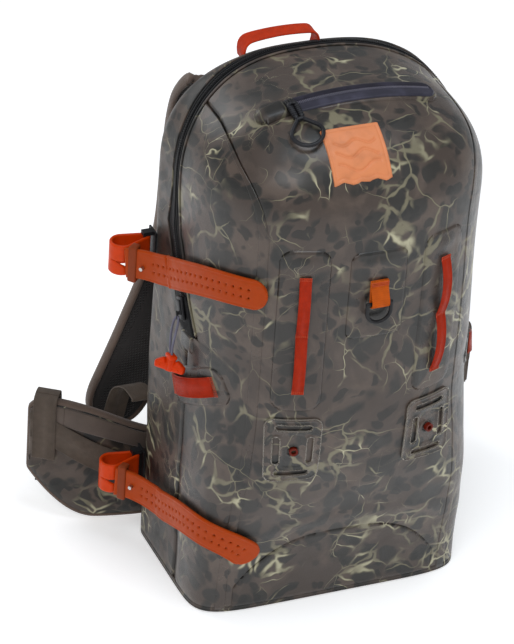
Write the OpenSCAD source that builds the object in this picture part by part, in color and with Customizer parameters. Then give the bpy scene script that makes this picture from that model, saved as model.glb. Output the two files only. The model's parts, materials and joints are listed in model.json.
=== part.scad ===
// Zip-sealed fishing backpack with its harness, rod straps and lash points.
// Frame: millimetres, +Z up, -Y is the front of the bag, +Y faces the wearer's back.
// The origin is the centre of the flat base.

/* [Bag] */
// Width of the bag
pack_w = 300; // [270:1:330]
// Height of the bag, without the carry handle
pack_h = 560; // [520:1:600]
// Distance from the origin to the back panel
back_y = 90; // [85:1:95]
// Distance from the origin to the foremost point of the front
front_out = 132; // [122:1:140]
// Distance from the origin to the front edge of the base
base_out = 88; // [80:1:96]
// Wall thickness of the coated fabric, drawn thick enough to be a solid
wall = 2.4; // [2:0.1:3]

/* [Main zip] */
// Width of the main zip tape along its upright and top runs
zip_w = 19; // [16:1:22]
// Width of the wider tape that ends the zip on each side
zip_foot_w = 38; // [32:1:40]
// Height of the closed end of the main zip
zip_end_z = 306; // [300:1:315]
// Height where the zip turns upright
zip_bend_z = 400; // [390:1:410]

/* [Webbing and straps] */
// Width of the broad webbing
web_w = 25; // [20:1:30]
// Width of the narrow lash webbing
lash_w = 12; // [10:1:15]
// Width of the rubber rod straps
rubber_w = 32; // [28:1:34]
// Thickness of the rubber rod straps
rubber_t = 3.2; // [2.8:0.1:3.6]

/* [Front fittings] */
// Distance of the lash straps and tool plates from the centre line
side_x = 73; // [68:1:76]
// Width of the moulded tool plates
tool_w = 54; // [48:1:56]
// Height of the moulded tool plates
tool_h = 74; // [66:1:76]
// Diameter of the hole in the middle of a tool plate
tool_hole_d = 5; // [4:0.5:6]
// Diameter of the D-ring's wire
ring_wire = 4; // [3:0.5:4.5]

/* [Hidden] */
$fn = 32;

taupe = "#6d6056";
brown = "#5d5048";
orange = "#f2591a";
red = "#d8361c";
charcoal = "#35353c";
black = "#1c1c1f";

gap = 0.4;                    // clearance between neighbouring fabric panels
lay = 0.8;                    // height of an applied part's underside above the fabric
half = pack_w / 2;
mid_y = 8;                    // where the flat side ends and the rounded front begins
shoulder_z = 450;             // where the rounded top begins
full_z = 252;                 // where the front has reached its full roundness
base_expo = 7;                // superellipse exponent of the base outline, nearly square
round_expo = 2.55;            // the same for the rounded front and top
rear_r = 22;                  // radius of the rear edges
floor_t = 3;                  // thickness of the base panel
wall_z = floor_t + gap;       // lower edge of the upright panels
zip_end_y = -20;
zip_side_y = 28;
zip_top_y = 74;               // measured round the rear edge
rear_y = back_y - rear_r;     // where the rear edge starts to round
seam_low = 0.68;              // wrap position of the front seam at the base
seam_high = 0.54;             // and from full_z upwards
zip_v = zip_end_z / shoulder_z;

// ---------- helpers ----------
function mixv(a, b, t) = a + (b - a) * t;
function smooth01(t) = let(u = min(1, max(0, t))) u * u * (3 - 2 * u);
function steps(a, b, n) = [for (k = [0:n]) mixv(a, b, k / n)];
function reversed(v) = [for (k = [len(v) - 1:-1:0]) v[k]];
function unit(v) = v / norm(v);

// Catmull-Rom curve through the points P, t from 0 to 1
function spline(P, t) =
    let(n = len(P) - 1, q = min(n - 1e-6, max(0, t * n)), k = floor(q), f = q - k,
        a = P[max(0, k - 1)], b = P[k], c = P[k + 1], d = P[min(n, k + 2)])
    0.5 * (2 * b + (c - a) * f + (2 * a - 5 * b + 4 * c - d) * f * f + (3 * b - a - 3 * c + d) * f * f * f);
function spline_dir(P, t) = unit(spline(P, min(1, t + 0.01)) - spline(P, max(0, t - 0.01)));
function side_of(P, s) = [for (p = P) [s * p[0], p[1], p[2]]];

// Closed solid between two grids of points, each nu rows of nv points
module sheet(outer, inner, nu, nv, flip = false) {
    m = nu * nv;
    function quad(a, b, c, d) = [[a, b, c], [a, c, d]];
    top = [for (i = [0:nu - 2], j = [0:nv - 2])
        each quad(i * nv + j, i * nv + j + 1, (i + 1) * nv + j + 1, (i + 1) * nv + j)];
    bottom = [for (t = top) [m + t[0], m + t[2], m + t[1]]];
    rim_v = [for (i = [0:nu - 2]) each concat(
        quad(i * nv, (i + 1) * nv, m + (i + 1) * nv, m + i * nv),
        quad(i * nv + nv - 1, m + i * nv + nv - 1, m + (i + 1) * nv + nv - 1, (i + 1) * nv + nv - 1))];
    last = (nu - 1) * nv;
    rim_u = [for (j = [0:nv - 2]) each concat(
        quad(j, m + j, m + j + 1, j + 1),
        quad(last + j, last + j + 1, m + last + j + 1, m + last + j))];
    all = concat(top, bottom, rim_v, rim_u);
    polyhedron(points = concat(outer, inner), faces = flip ? [for (t = all) [t[0], t[2], t[1]]] : all);
}

// The same, from a function f(u, v, inset) that gives the skin at a depth below the surface
module skin(f, us, vs, i0, i1, flip = false)
    sheet([for (u = us, v = vs) f(u, v, i0)], [for (u = us, v = vs) f(u, v, i1)], len(us), len(vs), flip);

// Flat ribbon along the curve P: width runs along the vector w, thickness across it
module ribbon(P, w, width, t, n = 14, flip = false) {
    function across(u) = unit(cross(spline_dir(P, u), w));
    sheet([for (u = steps(0, 1, n), v = [-0.5, 0.5]) spline(P, u) + w * width * v + across(u) * t / 2],
          [for (u = steps(0, 1, n), v = [-0.5, 0.5]) spline(P, u) + w * width * v - across(u) * t / 2],
          n + 1, 2, flip);
}

// Rounded rectangle, centred
module rounded(w, h, r) {
    square([w - 2 * r, h], center = true);
    square([w, h - 2 * r], center = true);
    for (x = [-1, 1], y = [-1, 1]) translate([x * (w / 2 - r), y * (h / 2 - r)]) circle(r);
}

// Slot of length l and width w, centred, along X
module slot(l, w) {
    square([l - w, w], center = true);
    for (x = [-1, 1]) translate([x * (l - w) / 2, 0]) circle(w / 2);
}

// ---------- outer surface of the bag ----------
function roundness(z) = smooth01(z / full_z);
function expo(z) = mixv(base_expo, round_expo, roundness(z));
function half_w(i) = half - i;
function depth(z, i) = mid_y + mixv(base_out, front_out, roundness(z)) - i;
function arch_h(i) = pack_h - shoulder_z - i;

// Surface point at height station v (0 base, 1 shoulder, 2 top centre) and wrap c
// (below 0: flat side and rear edge, 100 mm to a unit; 0 to 1: round the front to its centre line)
function at(s, v, c, i = 0) =
    let(z = min(v, 1) * shoulder_z, n = expo(z), psi = max(0, v - 1) * 90,
        ax = half_w(i) * pow(cos(psi), 2 / n), az = arch_h(i) * pow(sin(psi), 2 / n),
        q = mid_y - 100 * c, turn = max(0, q - rear_y) / rear_r * 180 / PI, r = rear_r - i,
        k = c < 0 ? 1 - r * (1 - cos(turn)) / half_w(i) : pow(cos(90 * c), 2 / n))
    [s * ax * k,
     c < 0 ? min(q, rear_y) + r * sin(turn) : mid_y - depth(z, i) * pow(sin(90 * c), 2 / n),
     z + az * k];

// Wrap position of the depth y at station v
function wrap_of(v, y) =
    let(z = min(v, 1) * shoulder_z)
    y >= mid_y ? (mid_y - y) / 100 : asin(min(1, pow((mid_y - y) / depth(z, 0), expo(z) / 2))) / 90;

// Front surface above the base as a height field
function front_at(x, z, i = 0) =
    let(n = expo(z), dz = max(0, z - shoulder_z) / arch_h(i))
    [x, mid_y - depth(z, i) * pow(max(0, 1 - pow(abs(x) / half_w(i), n) - pow(dz, n)), 1 / n), z];

// Rounded top by tilt: 0 is the foremost line at the shoulder, 90 the crest
function dome_at(x, tilt, i = 0) =
    let(n = round_expo,
        r = pow((1 - pow(abs(x) / half_w(i), n))
            / (pow(sin(tilt) / arch_h(i), n) + pow(cos(tilt) / depth(shoulder_z, i), n)), 1 / n))
    [x, mid_y - r * cos(tilt), shoulder_z + r * sin(tilt)];

// Turn of the front surface about Z at x
function front_turn(x, z) = atan((front_at(x + 1, z)[1] - front_at(x - 1, z)[1]) / 2);

// Centre line of the main zip as a depth, at station v
function zip_y(v) =
    let(z = min(v, 1) * shoulder_z)
    v > 1 ? mixv(zip_side_y, zip_top_y, smooth01(v - 1))
          : mixv(zip_end_y, zip_side_y, min(1, max(0, (z - zip_end_z) / (zip_bend_z - zip_end_z))));
// Half the zip's width at station v: a wide foot that narrows as it turns upright
function zip_half(v) = mixv(zip_foot_w, zip_w, smooth01((v * shoulder_z - 380) / 70)) / 2;
function opening(v) = v > zip_v ? zip_half(v) : gap / 2;
function station_of(x) = 1 + acos(pow(abs(x) / half, round_expo / 2)) / 90;

function seam_wrap(v) = mixv(seam_low, seam_high, roundness(min(v, 1) * shoulder_z));
seam_top_x = half * pow(cos(90 * seam_high), 2 / round_expo);
function seam_x(tilt) = seam_top_x + 10 * smooth01(tilt / 50) + 4 * sin(2 * tilt);

// Stations along the whole arch, from the left base over the top to the right base
function arch_path(low) =
    let(up = concat(low, [for (k = [1:top_rows]) 1 + k / top_rows]))
    concat([for (v = up) [-1, v]], [for (v = reversed(up)) if (v < 2) [1, v]]);
top_rows = 12;                // rows of facets from the shoulder to the crest
// Rows of facets that neighbouring panels share, so that their seams stay closed
base_rows = steps(wall_z / shoulder_z, zip_v, 9);
upright_rows = steps(zip_v + 0.001, 1, 6);
panel_rows = concat(base_rows, upright_rows, steps(1.125, 2, 7));

// ---------- bag panels ----------
function front_grid(r, a, i) =
    r <= 1 ? front_at(a * (at(1, r, seam_wrap(r), i)[0] - gap / 2), r * shoulder_z, i)
    : let(tilt = min(r - 1, 1) * 90, x = a * seam_x(tilt) * half_w(i) / half, p = dome_at(x, tilt, i),
          v = station_of(x), edge = zip_y(v) - zip_half(v) - 2 * gap)
      r <= 2 ? p : [x, mixv(mid_y, edge, r - 2), p[2]];
module front_panel() color(taupe)
    skin(function(r, a, i) front_grid(r, a, i), concat(panel_rows, [2.5, 3]), steps(-1, 1, 14),
         0, wall, true);

// Station and wrap of the front seam on the rounded top
function seam_station(tilt) =
    let(p = dome_at(seam_x(tilt) + gap, tilt))
    1 + atan(pow(((p[2] - shoulder_z) / arch_h(0)) / (p[0] / half), round_expo / 2)) / 90;
function side_grid(s, r, u, i) =
    let(tilt = (r - 1) * 90, v = r <= 1 ? r : seam_station(tilt),
        rear = wrap_of(v, zip_y(v) - opening(v) - gap),
        seam = r <= 1 ? seam_wrap(v) - 0.003 : wrap_of(v, dome_at(seam_x(tilt) + gap, tilt)[1]))
    at(s, v, mixv(rear, seam - 0.002, u), i);
module side_panel(s) color(taupe)
    skin(function(r, u, i) side_grid(s, r, u, i),
         panel_rows, steps(0, 1, 7), 0, wall, s < 0);

// Rear gusset: w 0 to 1 runs back from the zip and round the rear edge
rear_end = rear_y + rear_r * PI / 2;
function rear_grid(p, w, i) =
    let(v = p[1], q = mixv(zip_y(v) + opening(v), rear_end, w)) at(p[0], v, wrap_of(v, q), i);
module rear_gusset() color(taupe)
    skin(function(p, w, i) rear_grid(p, w, i), arch_path(concat(base_rows, upright_rows)),
         [0, 0.3, 0.52, 0.64, 0.76, 0.88, 1], 0, wall);

// Half outline of the back, shrunk by m
function back_outline(m) =
    let(k = 1 - (rear_r + m) / half, arch = [for (v = steps(1, 2, top_rows)) at(1, v, -0.1)])
    concat([[half * k, wall_z]],
           [for (p = arch) [p[0] * k, shoulder_z + (p[2] - shoulder_z) * k]]);
module back_plate(m, y, t, z0 = 0) {
    right = back_outline(m);
    translate([0, y, 0]) rotate([90, 0, 0]) linear_extrude(t) intersection() {
        polygon(concat(right, [for (p = reversed(right)) [-p[0], p[1]]]));
        translate([-pack_w, z0]) square([2 * pack_w, pack_h]);
    }
}
module back_panel() color(brown) back_plate(gap + 0.6, back_y, wall);

module base_panel() color(taupe) {
    front = [for (c = steps(0, 1, 16)) at(1, 0, c)];
    rear = [for (a = steps(0, 90, 4)) [half - rear_r + rear_r * cos(a), back_y - rear_r + rear_r * sin(a)]];
    right = concat(reversed([for (p = front) [p[0], p[1]]]), rear);
    left = [for (p = reversed(right)) if (p[0] > 0.01) [-p[0], p[1]]];
    linear_extrude(floor_t) polygon(concat(right, left));
}

// Patch applied to the front: z from low(x) to high(x)
module front_patch(x0, x1, nx, low, high, nz, i0, i1)
    skin(function(x, t, i) front_at(x, mixv(low(x), high(x), t), i), steps(x0, x1, nx), steps(0, 1, nz),
         i0, i1);
patch_half = 112;             // half the width of the scuff patch at the foot of the front
module base_front_patch() color(brown)
    front_patch(-patch_half, patch_half, 30, function(x) 6,
                function(x) 30 + 62 * (1 - pow(abs(x) / (patch_half + 1), 3)), 4, -2.2, -lay);

// ---------- main zip ----------
// Band along the zip, with half-width function w(v), drawn between two depths
module zip_band(w, i0, i1, v0)
    skin(function(p, t, i) at(p[0], p[1], wrap_of(p[1], zip_y(p[1]) + mixv(-1, 1, t) * w(p[1])), i),
         arch_path(concat([v0], [for (v = upright_rows) if (v > v0) v])), steps(0, 1, 3), i0, i1);
zip_v0 = (zip_end_z + 8) / shoulder_z;
module main_zip_tape() color(black) zip_band(function(v) zip_half(v) - gap, 0.6, wall + 0.4, zip_v0);
module main_zip_coil() color(charcoal) zip_band(function(v) 3, -1.4, 0.1, zip_v0 + 0.012);
module zip_end_stops() color(black) for (s = [-1, 1])
    skin(function(v, t, i) at(s, v, wrap_of(v, zip_y(v) + mixv(-11, 11, t)), i),
         steps((zip_end_z - 22) / shoulder_z, zip_v, 3), steps(0, 1, 4), -2.2, -lay, s > 0);

slider_v = (zip_end_z + 22) / shoulder_z;
zip_low = at(-1, slider_v, wrap_of(slider_v, zip_y(slider_v)));
zip_high = at(-1, zip_bend_z / shoulder_z, wrap_of(zip_bend_z / shoulder_z, zip_side_y));
zip_run = unit(zip_high - zip_low);      // direction of the slider's straight run
zip_lean = atan(zip_run[1] / zip_run[2]);
// Places a child at the slider: its Z follows the zip, its X points out of the bag
module on_zip() translate([zip_low[0] - 1.9, zip_low[1], zip_low[2]]) rotate([-zip_lean, 0, 0])
    mirror([1, 0, 0]) children();
module main_zip_slider() color(black) on_zip() difference() {
    union() {
        translate([0, -7, -13]) cube([3.4, 14, 26]);
        translate([3.4, -2, -11]) cube([5, 4, 6]);
    }
    translate([6, 0, -8]) rotate([90, 0, 0]) cylinder(h = 12, r = 1.5, center = true);
}
pull_eye = [zip_low[0] - 7.9, zip_low[1] + 8 * -sin(zip_lean), zip_low[2] - 8 * cos(zip_lean)];
pull_l = pull_eye[2] - 268;   // from the slider's eye to the middle of the T-handle
pull_out = 8.8;               // the pull hangs a little away from the side
pull_front = 7;               // and a little towards the front
pull_twist = 40;              // turn of the crossbar from the side of the bag
module main_zip_cord() color(charcoal) translate(pull_eye) {
    rotate([90 - zip_lean, 0, 0]) cylinder(h = 13, r = 1.2, center = true);
    rotate([-pull_front, pull_out, 0]) for (y = [-5, 5])
        translate([0, y, 12 - pull_l]) cylinder(h = pull_l - 12 + (y > 0 ? 0 : 3.5), r = 1.2);
}
module main_zip_handle() color(orange)
    translate(pull_eye) rotate([-pull_front, pull_out, 0]) translate([0, 0, -pull_l]) {
    translate([-3.5, -6.5, -4]) cube([7, 13, 15.6]);
    rotate([0, 0, pull_twist]) {
        translate([-3.5, -13, -4.5]) cube([7, 26, 8]);
        for (y = [-13, 13]) translate([0, y, -0.5]) cylinder(h = 8, r = 3.5, center = true);
    }
}

// ---------- parking loops for the zip handle ----------
dock_z = 250;
dock_y = -32;
dock_slope = 0.52;            // the loop lies square to the lower run of the zip
// Point on the side at distance u along the loop and h across it
function dock_pt(s, u, h, i) =
    let(z = dock_z + h + u * dock_slope, v = z / shoulder_z, y = dock_y - u + h * dock_slope)
    at(s, v, wrap_of(v, y), i);
module dock_patches() color(taupe) for (s = [-1, 1])
    skin(function(u, h, i) dock_pt(s, u, h, i), steps(-36, 48, 14), steps(-18, 18, 4), -2.2, -1.4, s > 0);
module dock_loops() color(red) for (s = [-1, 1])
    skin(function(u, h, i) dock_pt(s, u, h, i - 7 * sin(180 * (u + 30) / 62)), steps(-30, 32, 10),
         [-11, 0, 11], -3.8, -2.3, s > 0);

// ---------- chest pocket on the rounded top ----------
pocket_tilt = 69;             // where the pocket zip lies on the rounded top
pocket_r = 330;               // radius of the zip's arc, seen along its normal
pocket_x0 = -67;
pocket_x1 = 92;
pocket_mid = 4;               // the highest point of the zip
crest = dome_at(pocket_mid, pocket_tilt);
pocket_dip = 9;               // how far the zip's face tips towards the front
// Places children on the pocket zip's arc: Z is the face normal, X runs along the zip at x
module on_pocket(x) translate(crest) rotate([pocket_dip, 0, 0])
    translate([0, 0, -pocket_r]) rotate([0, asin((x - pocket_mid) / pocket_r), 0])
    translate([0, 0, pocket_r]) children();
module pocket_arc(x0, x1, w, z0, z1) {
    a0 = asin((x0 - pocket_mid) / pocket_r);
    a1 = asin((x1 - pocket_mid) / pocket_r);
    translate(crest) rotate([pocket_dip, 0, 0]) translate([0, 0, -pocket_r])
        rotate([90, 0, 0]) rotate([0, 0, 90 - a1]) rotate_extrude(angle = a1 - a0, $fn = 360)
            translate([pocket_r + z0, -w / 2]) square([z1 - z0, w]);
}
module pocket_zip_tape() color(charcoal) pocket_arc(pocket_x0, pocket_x1, 23, 2.2, 3.4);
module pocket_zip_coil() color(black) pocket_arc(pocket_x0 + 14, pocket_x1 - 4, 4, 3.5, 4.7);
module pocket_zip_garage() color(brown) pocket_arc(pocket_x0 - 30, pocket_x0 - 0.5, 23, 2.2, 7);
module pocket_zip_slider() color(black) on_pocket(pocket_x0 + 7) translate([0, 0, 5.2]) difference() {
    union() {
        translate([-5, -5.5, 0]) cube([10, 11, 3]);
        translate([-2.5, -5.5, 3]) cube([5, 7, 4]);
    }
    translate([0, -2.5, 5]) rotate([0, 90, 0]) cylinder(h = 8, r = 1.4, center = true);
}
// Cord loop that hangs from the slider down the front
pull_droop = 9;               // below the face of the zip, to follow the slope of the top
module pocket_zip_pull() color(black) on_pocket(pocket_x0 + 7) translate([0, -2.5, 10.2]) {
    rotate([0, 90, 0]) cylinder(h = 8.4, r = 1.1, center = true);
    rotate([pull_droop, 0, 0]) {
        for (x = [-1, 1]) translate([x * 4.2, -7, 0]) rotate([90, 0, 0])
            cylinder(h = 15, r = 1.5, center = true);
        translate([-6, -24, -2]) cube([12, 12, 4.2]);
        translate([0, -41, 0]) rotate_extrude() translate([15.5, 0]) circle(2.6);
    }
}

// ---------- emblem, lash points and D-ring ----------
emblem_x = -17;               // the emblem sits a little left of the centre line
module emblem_patch() color(orange)
    skin(function(x, tilt, i) dome_at(emblem_x + x, tilt, i), steps(-30, 30, 5), steps(24, 50, 5),
         -1.9, -lay);

// Outline with rounded ends: u is -1 to 1 across the panel
function rounding(x, xc, hw, r) = r * (1 - sqrt(max(0, 1 - pow((x - xc) / hw, 2))));
module lash_panel(xc, hw, z0, z1, r) front_patch(xc - hw, xc + hw, 8,
    function(x) z0 + rounding(x, xc, hw * 1.02, r),
    function(x) z1 - rounding(x, xc, hw * 1.02, r), 8, -2.4, -lay);
module lash_panels() color(brown) {
    for (s = [-1, 1]) lash_panel(s * side_x, 24, 262, 446, 14);
    lash_panel(0, 30, 340, 440, 10);
}

lash_top = 415;
lash_low = 286;
// One strap with two loops: it touches down at both ends and in the middle
function lash_rise(z) = 5.5 * abs(sin(360 * (z - lash_low) / (lash_top - lash_low)));
module lash_strap(s) skin(
    function(z, x, i) front_at(s * side_x + x, z, i - lash_rise(z)),
    steps(lash_low, lash_top, 16), [-lash_w / 2, 0, lash_w / 2], -4.8, -3.2, true);
module lash_straps() color(red) for (s = [-1, 1]) lash_strap(s);

ring_z = 384;                 // height of the D-ring's straight bar
ring_y = front_at(0, ring_z)[1] - 8;
ring_r = 12.5;
ring_leg = 9;
module d_ring() color(black) translate([0, ring_y, ring_z]) {
    rotate([0, 90, 0]) cylinder(h = 2 * ring_r, r = ring_wire / 2, center = true);
    for (x = [-1, 1]) translate([x * ring_r, 0, 0]) sphere(ring_wire / 2);
    for (x = [-1, 1]) translate([x * ring_r, 0, -ring_leg]) cylinder(h = ring_leg, r = ring_wire / 2);
    translate([0, 0, -ring_leg]) rotate([90, 0, 0]) rotate([0, 0, 180]) rotate_extrude(angle = 180)
        translate([ring_r, 0]) circle(ring_wire / 2);
}
module d_ring_webbing() color(orange) translate([0, ring_y, ring_z]) difference() {
    union() {
        translate([-9.5, -4, -4]) cube([19, 8, 8]);
        translate([-9.5, 0.5, 4]) cube([19, 3.5, 18]);
    }
    rotate([0, 90, 0]) cylinder(h = 40, r = ring_wire / 2 + 0.3, center = true);
}

// ---------- moulded tool plates ----------
tool_z = 216;
tool_t = 3;
module on_tool(s) {
    p = front_at(s * side_x, tool_z, -1.2);
    translate(p) rotate([0, 0, front_turn(s * side_x, tool_z)]) rotate([90, 0, 0]) children();
}
module tool_plates() color("#8a8278") for (s = [-1, 1]) on_tool(s) difference() {
    linear_extrude(tool_t) difference() {
        rounded(tool_w, tool_h, 9);
        for (y = [-1, 1]) translate([0, y * 27]) slot(34, 6);
        for (x = [-1, 1]) translate([x * 16, 0]) rotate(90) slot(32, 6);
    }
    translate([0, 0, -1]) cylinder(h = tool_t + 2, r = tool_hole_d / 2 + 2.05);
}
module tool_grommets() color(red) for (s = [-1, 1]) on_tool(s) difference() {
    cylinder(h = tool_t + 1, r = tool_hole_d / 2 + 2);
    translate([0, 0, -1]) cylinder(h = tool_t + 3, r = tool_hole_d / 2);
}

// ---------- carry handle ----------
handle_x = -22;
handle_path = [for (p = [[-40, 88, 555.1], [-41, 88, 560], [-30, 88, 566], [0, 88, 569.5], [27, 88, 569],
                         [38, 88, 565.5], [37, 88, 561.2]]) p + [handle_x, 0, 0]];
module carry_handle() color(red) ribbon(handle_path, [0, 1, 0], 20, 2.4, 20);

// ---------- rod straps on the left side ----------
pin = [-160, 76];              // upright pin that the rubber loop turns on
pin_r = 2;
bulb = [-186, 73];             // centre of the loop's outer curl
bulb_r = 13;
upper_z = 348;
lower_z = 84;
module lug(z) translate([0, pin[1], z]) {
    plate_x = -half - lay;
    translate([plate_x - 2, -9, -rubber_w / 2 - 6]) cube([2, 18, rubber_w + 12]);
    for (e = [-1, 1]) translate([plate_x - 12.5, -4, e * (rubber_w / 2 + 3.5) - 2]) cube([12, 8, 4]);
    translate([pin[0], 0, 0]) cylinder(h = rubber_w + 8, r = pin_r, center = true);
}
module strap_lugs() color(black) for (z = [upper_z, lower_z]) lug(z);

// Outline that wraps two circles
function wrap_circles(p0, r0, p1, r1) =
    let(d = p1 - p0, turn = atan2(d[1], d[0]), open = acos((r0 - r1) / norm(d)))
    concat([for (a = steps(turn + open, turn + 360 - open, 10)) p0 + r0 * [cos(a), sin(a)]],
           [for (a = steps(turn - open, turn + open, 16)) p1 + r1 * [cos(a), sin(a)]]);
// Band of rubber round the pin, curled outwards
module strap_loop(z) translate([0, 0, z]) linear_extrude(rubber_w, center = true) difference() {
    polygon(wrap_circles(pin, pin_r + 0.3 + rubber_t, bulb, bulb_r));
    polygon(wrap_circles(pin, pin_r + 0.3, bulb, bulb_r - rubber_t));
}
buckle_at = [-177, 51];
buckle_turn = 36;
module on_buckle(z) translate([buckle_at[0], buckle_at[1], z]) rotate([0, 0, buckle_turn]) children();
module strap_buckle(z) on_buckle(z) difference() {
    translate([-3, -14, -rubber_w / 2 - 3]) cube([6, 22, rubber_w + 6]);
    translate([-4, -1, -9]) cube([8, 6, 18]);
    translate([-1, -15, -rubber_w / 2 - 0.6]) cube([5, 10, rubber_w + 1.2]);
}
module strap_prong(z) on_buckle(z) translate([-3.2, -8, 0]) rotate([0, -90, 0]) cylinder(h = 4, r = 2);

// Perforated tail: lies over the side and front, from the buckle to a rounded end
tail_c0 = -0.19;
tail_lift = 3.4;              // gap between the tail and the fabric, room for the zip beneath it
module strap_tail(c1, z0, z1, rise) {
    function half_band(t) = rubber_w / 2 * (t < 0.93 ? 1 : sqrt(1 - pow((t - 0.93) / 0.075, 2)));
    function tail_pt(t, e, i) =
        let(z = mixv(z0, z1, t) + rise * sin(180 * t) + e * half_band(t))
        at(-1, z / shoulder_z, mixv(tail_c0, c1, t), i - 5 * pow(1 - t, 3));
    skin(function(t, e, i) tail_pt(t, e, i), steps(0, 1, 18), [-1, -0.4, 0.4, 1],
         -tail_lift - rubber_t, -tail_lift);
}
module upper_strap_loop() color(orange) strap_loop(upper_z);
module upper_strap_buckle() color(orange) strap_buckle(upper_z);
module upper_strap_prong() color("silver") strap_prong(upper_z);
module upper_strap_tail() color(orange) strap_tail(0.57, upper_z + 6, 388, 5);
module lower_strap_loop() color(orange) strap_loop(lower_z);
module lower_strap_buckle() color(orange) strap_buckle(lower_z);
module lower_strap_prong() color("silver") strap_prong(lower_z);
module lower_strap_tail() color(orange) strap_tail(0.83, lower_z + 3, 70, 28);

// ---------- inside the bag ----------
module frame_sheet() color("white") back_plate(6, back_y - wall - 1, 2, 12);
pocket_y = back_y - wall - 4;
module inner_pocket() color(charcoal) translate([-95, pocket_y - 3, 180]) cube([190, 3, 190]);
module inner_zip() color(black) translate([-90, pocket_y - 3, 371]) {
    cube([180, 1.6, 18]);
    translate([6, -3, 3]) cube([12, 2.6, 12]);
}

// ---------- harness ----------
pad_t = 17;
module back_pads() color(black) for (s = [-1, 1])
    translate([s * 50, back_y + lay + pad_t, 321]) rotate([90, 0, 0])
    linear_extrude(pad_t) rounded(66, 322, 20);
lumbar_half = 92;
module lumbar_pad() color(black) translate([0, back_y + lay + 24, 70]) rotate([90, 0, 0])
    linear_extrude(24) rounded(2 * lumbar_half, 118, 24);

strap_path = [[78, 99.5, 512], [84, 127, 483], [80, 150, 400], [84, 157, 300], [117, 157, 200],
              [160, 155, 96]];
strap_half = 34;
strap_t = 13;
// Padded strap: station t along it, e from -1 to 1 across it
function strap_pt(s, t, e, d) =
    let(P = side_of(strap_path, s), f = spline_dir(P, t), w = unit(cross(f, [0, 1, 0])),
        tip = t > 0.92 ? sqrt(1 - pow((t - 0.92) / 0.0801, 2) * 0.75) : 1, n = unit(cross(w, f)))
    spline(P, t) + w * e * strap_half * tip + n * d;
module shoulder_strap(s) color(black)
    skin(function(t, e, d) strap_pt(s, t, e, d), steps(0, 1, 16), [-1, -0.7, 0, 0.7, 1],
         strap_t / 2, -strap_t / 2, true);

// Frame buckle below the padded end; the webbing is gripped between its bars
lock_z = 80;
module ladder_lock(s) color(black) translate([s * 164, 152, lock_z]) difference() {
    translate([-18, -3, -18]) cube([36, 6, 28]);
    for (z = [-11, 0]) translate([-13.5, -4, z - 3]) cube([27, 8, 5]);
    translate([0, 0, 6.6]) rotate([0, 90, 0]) cylinder(h = 40, r = 1.6, center = true);
}
lower_web_path = [[147, 93, 158], [150, 112, 160], [155, 130, 146], [160, 137, 112], [163, 140, 84]];
module lower_webbing(s) color(brown) ribbon(side_of(lower_web_path, s), [1, 0, 0], web_w, 1.8, 12);

sternum_z = 352;
web_drop = 60;                // length of webbing below the sternum sliders
// Slider clipped over the outer face of the padded strap
module sternum_slider(s) color(black) translate([s * 81, 163.5, sternum_z]) {
    translate([-17, 0, -8]) cube([34, 1.6, 16]);
    translate([0, 5.5, 5]) rotate([0, 90, 0]) cylinder(h = 24, r = 1.6, center = true);
    for (x = [-14, 11]) translate([x, 1.6, 1]) cube([3, 6.4, 6]);
}
module sternum_strap(s) color(brown) translate([s * 81, 169, sternum_z + 5]) {
    translate([-9, 2.2, -web_drop]) cube([18, 1.6, web_drop]);
    difference() {
        rotate([0, 90, 0]) cylinder(h = 18, r = 3.6, center = true);
        rotate([0, 90, 0]) cylinder(h = 20, r = 1.9, center = true);
    }
}
module buckle_female(w, h, t) difference() {
    translate([-w / 2, 0, -h]) cube([w, t, h]);
    translate([-w / 2 + 2, t / 2 - 1.9, -h - 1]) cube([w - 4, 3.8, h - 6]);
    translate([-w / 2 + 5, -1, -5]) cube([w - 10, t + 2, 3]);
    for (x = [-1, 1]) translate([x * w / 2 - 3, -1, -h + 5]) cube([6, t + 2, h - 16]);
}
module buckle_male(w, h, t) {
    difference() {
        translate([-w / 2, 0, -11]) cube([w, t, 11]);
        translate([-w / 2 + 5, -1, -5]) cube([w - 10, t + 2, 3]);
    }
    for (x = [-1, 1]) translate([x * (w / 2 - 4.5) - 1.5, t / 2 - 1.5, -h]) cube([3, 3, h - 11 + 0.5]);
    translate([-1.5, t / 2 - 1.5, -h + 4]) cube([3, 3, h - 15 + 0.5]);
}
module below_sternum(s) translate([s * 81, 168, sternum_z + 4 - web_drop]) children();
module sternum_buckle_female() color(black) below_sternum(-1) buckle_female(26, 30, 8);
module sternum_buckle_male() color(black) below_sternum(1) buckle_male(26, 32, 8);

// Hip belt wings: a path seen from above, with a height range at each station
wing_path = [[106, 104, 0], [150, 106, 0], [205, 120, 0], [250, 148, 0]];
wing_t = 15;
function wing_low(x) = 5 + (x > 185 ? 58 * pow((x - 185) / 67, 2) : 0);
function wing_high(x) = 104 + 40 * smooth01((x - 106) / 120) - (x > 232 ? 14 * pow((x - 232) / 20, 2) : 0);
function wing_pt(s, t, e, d) =
    let(p = spline(wing_path, t), f = spline_dir(wing_path, t), n = [f[1], -f[0], 0])
    [s * (p[0] + n[0] * d), p[1] + n[1] * d, mixv(wing_low(p[0]), wing_high(p[0]), e)];
module hip_wing(s) color(taupe)
    skin(function(t, e, d) wing_pt(s, t, e, d), steps(0, 1, 12), steps(0, 1, 4),
         wing_t / 2, -wing_t / 2, s < 0);

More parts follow.
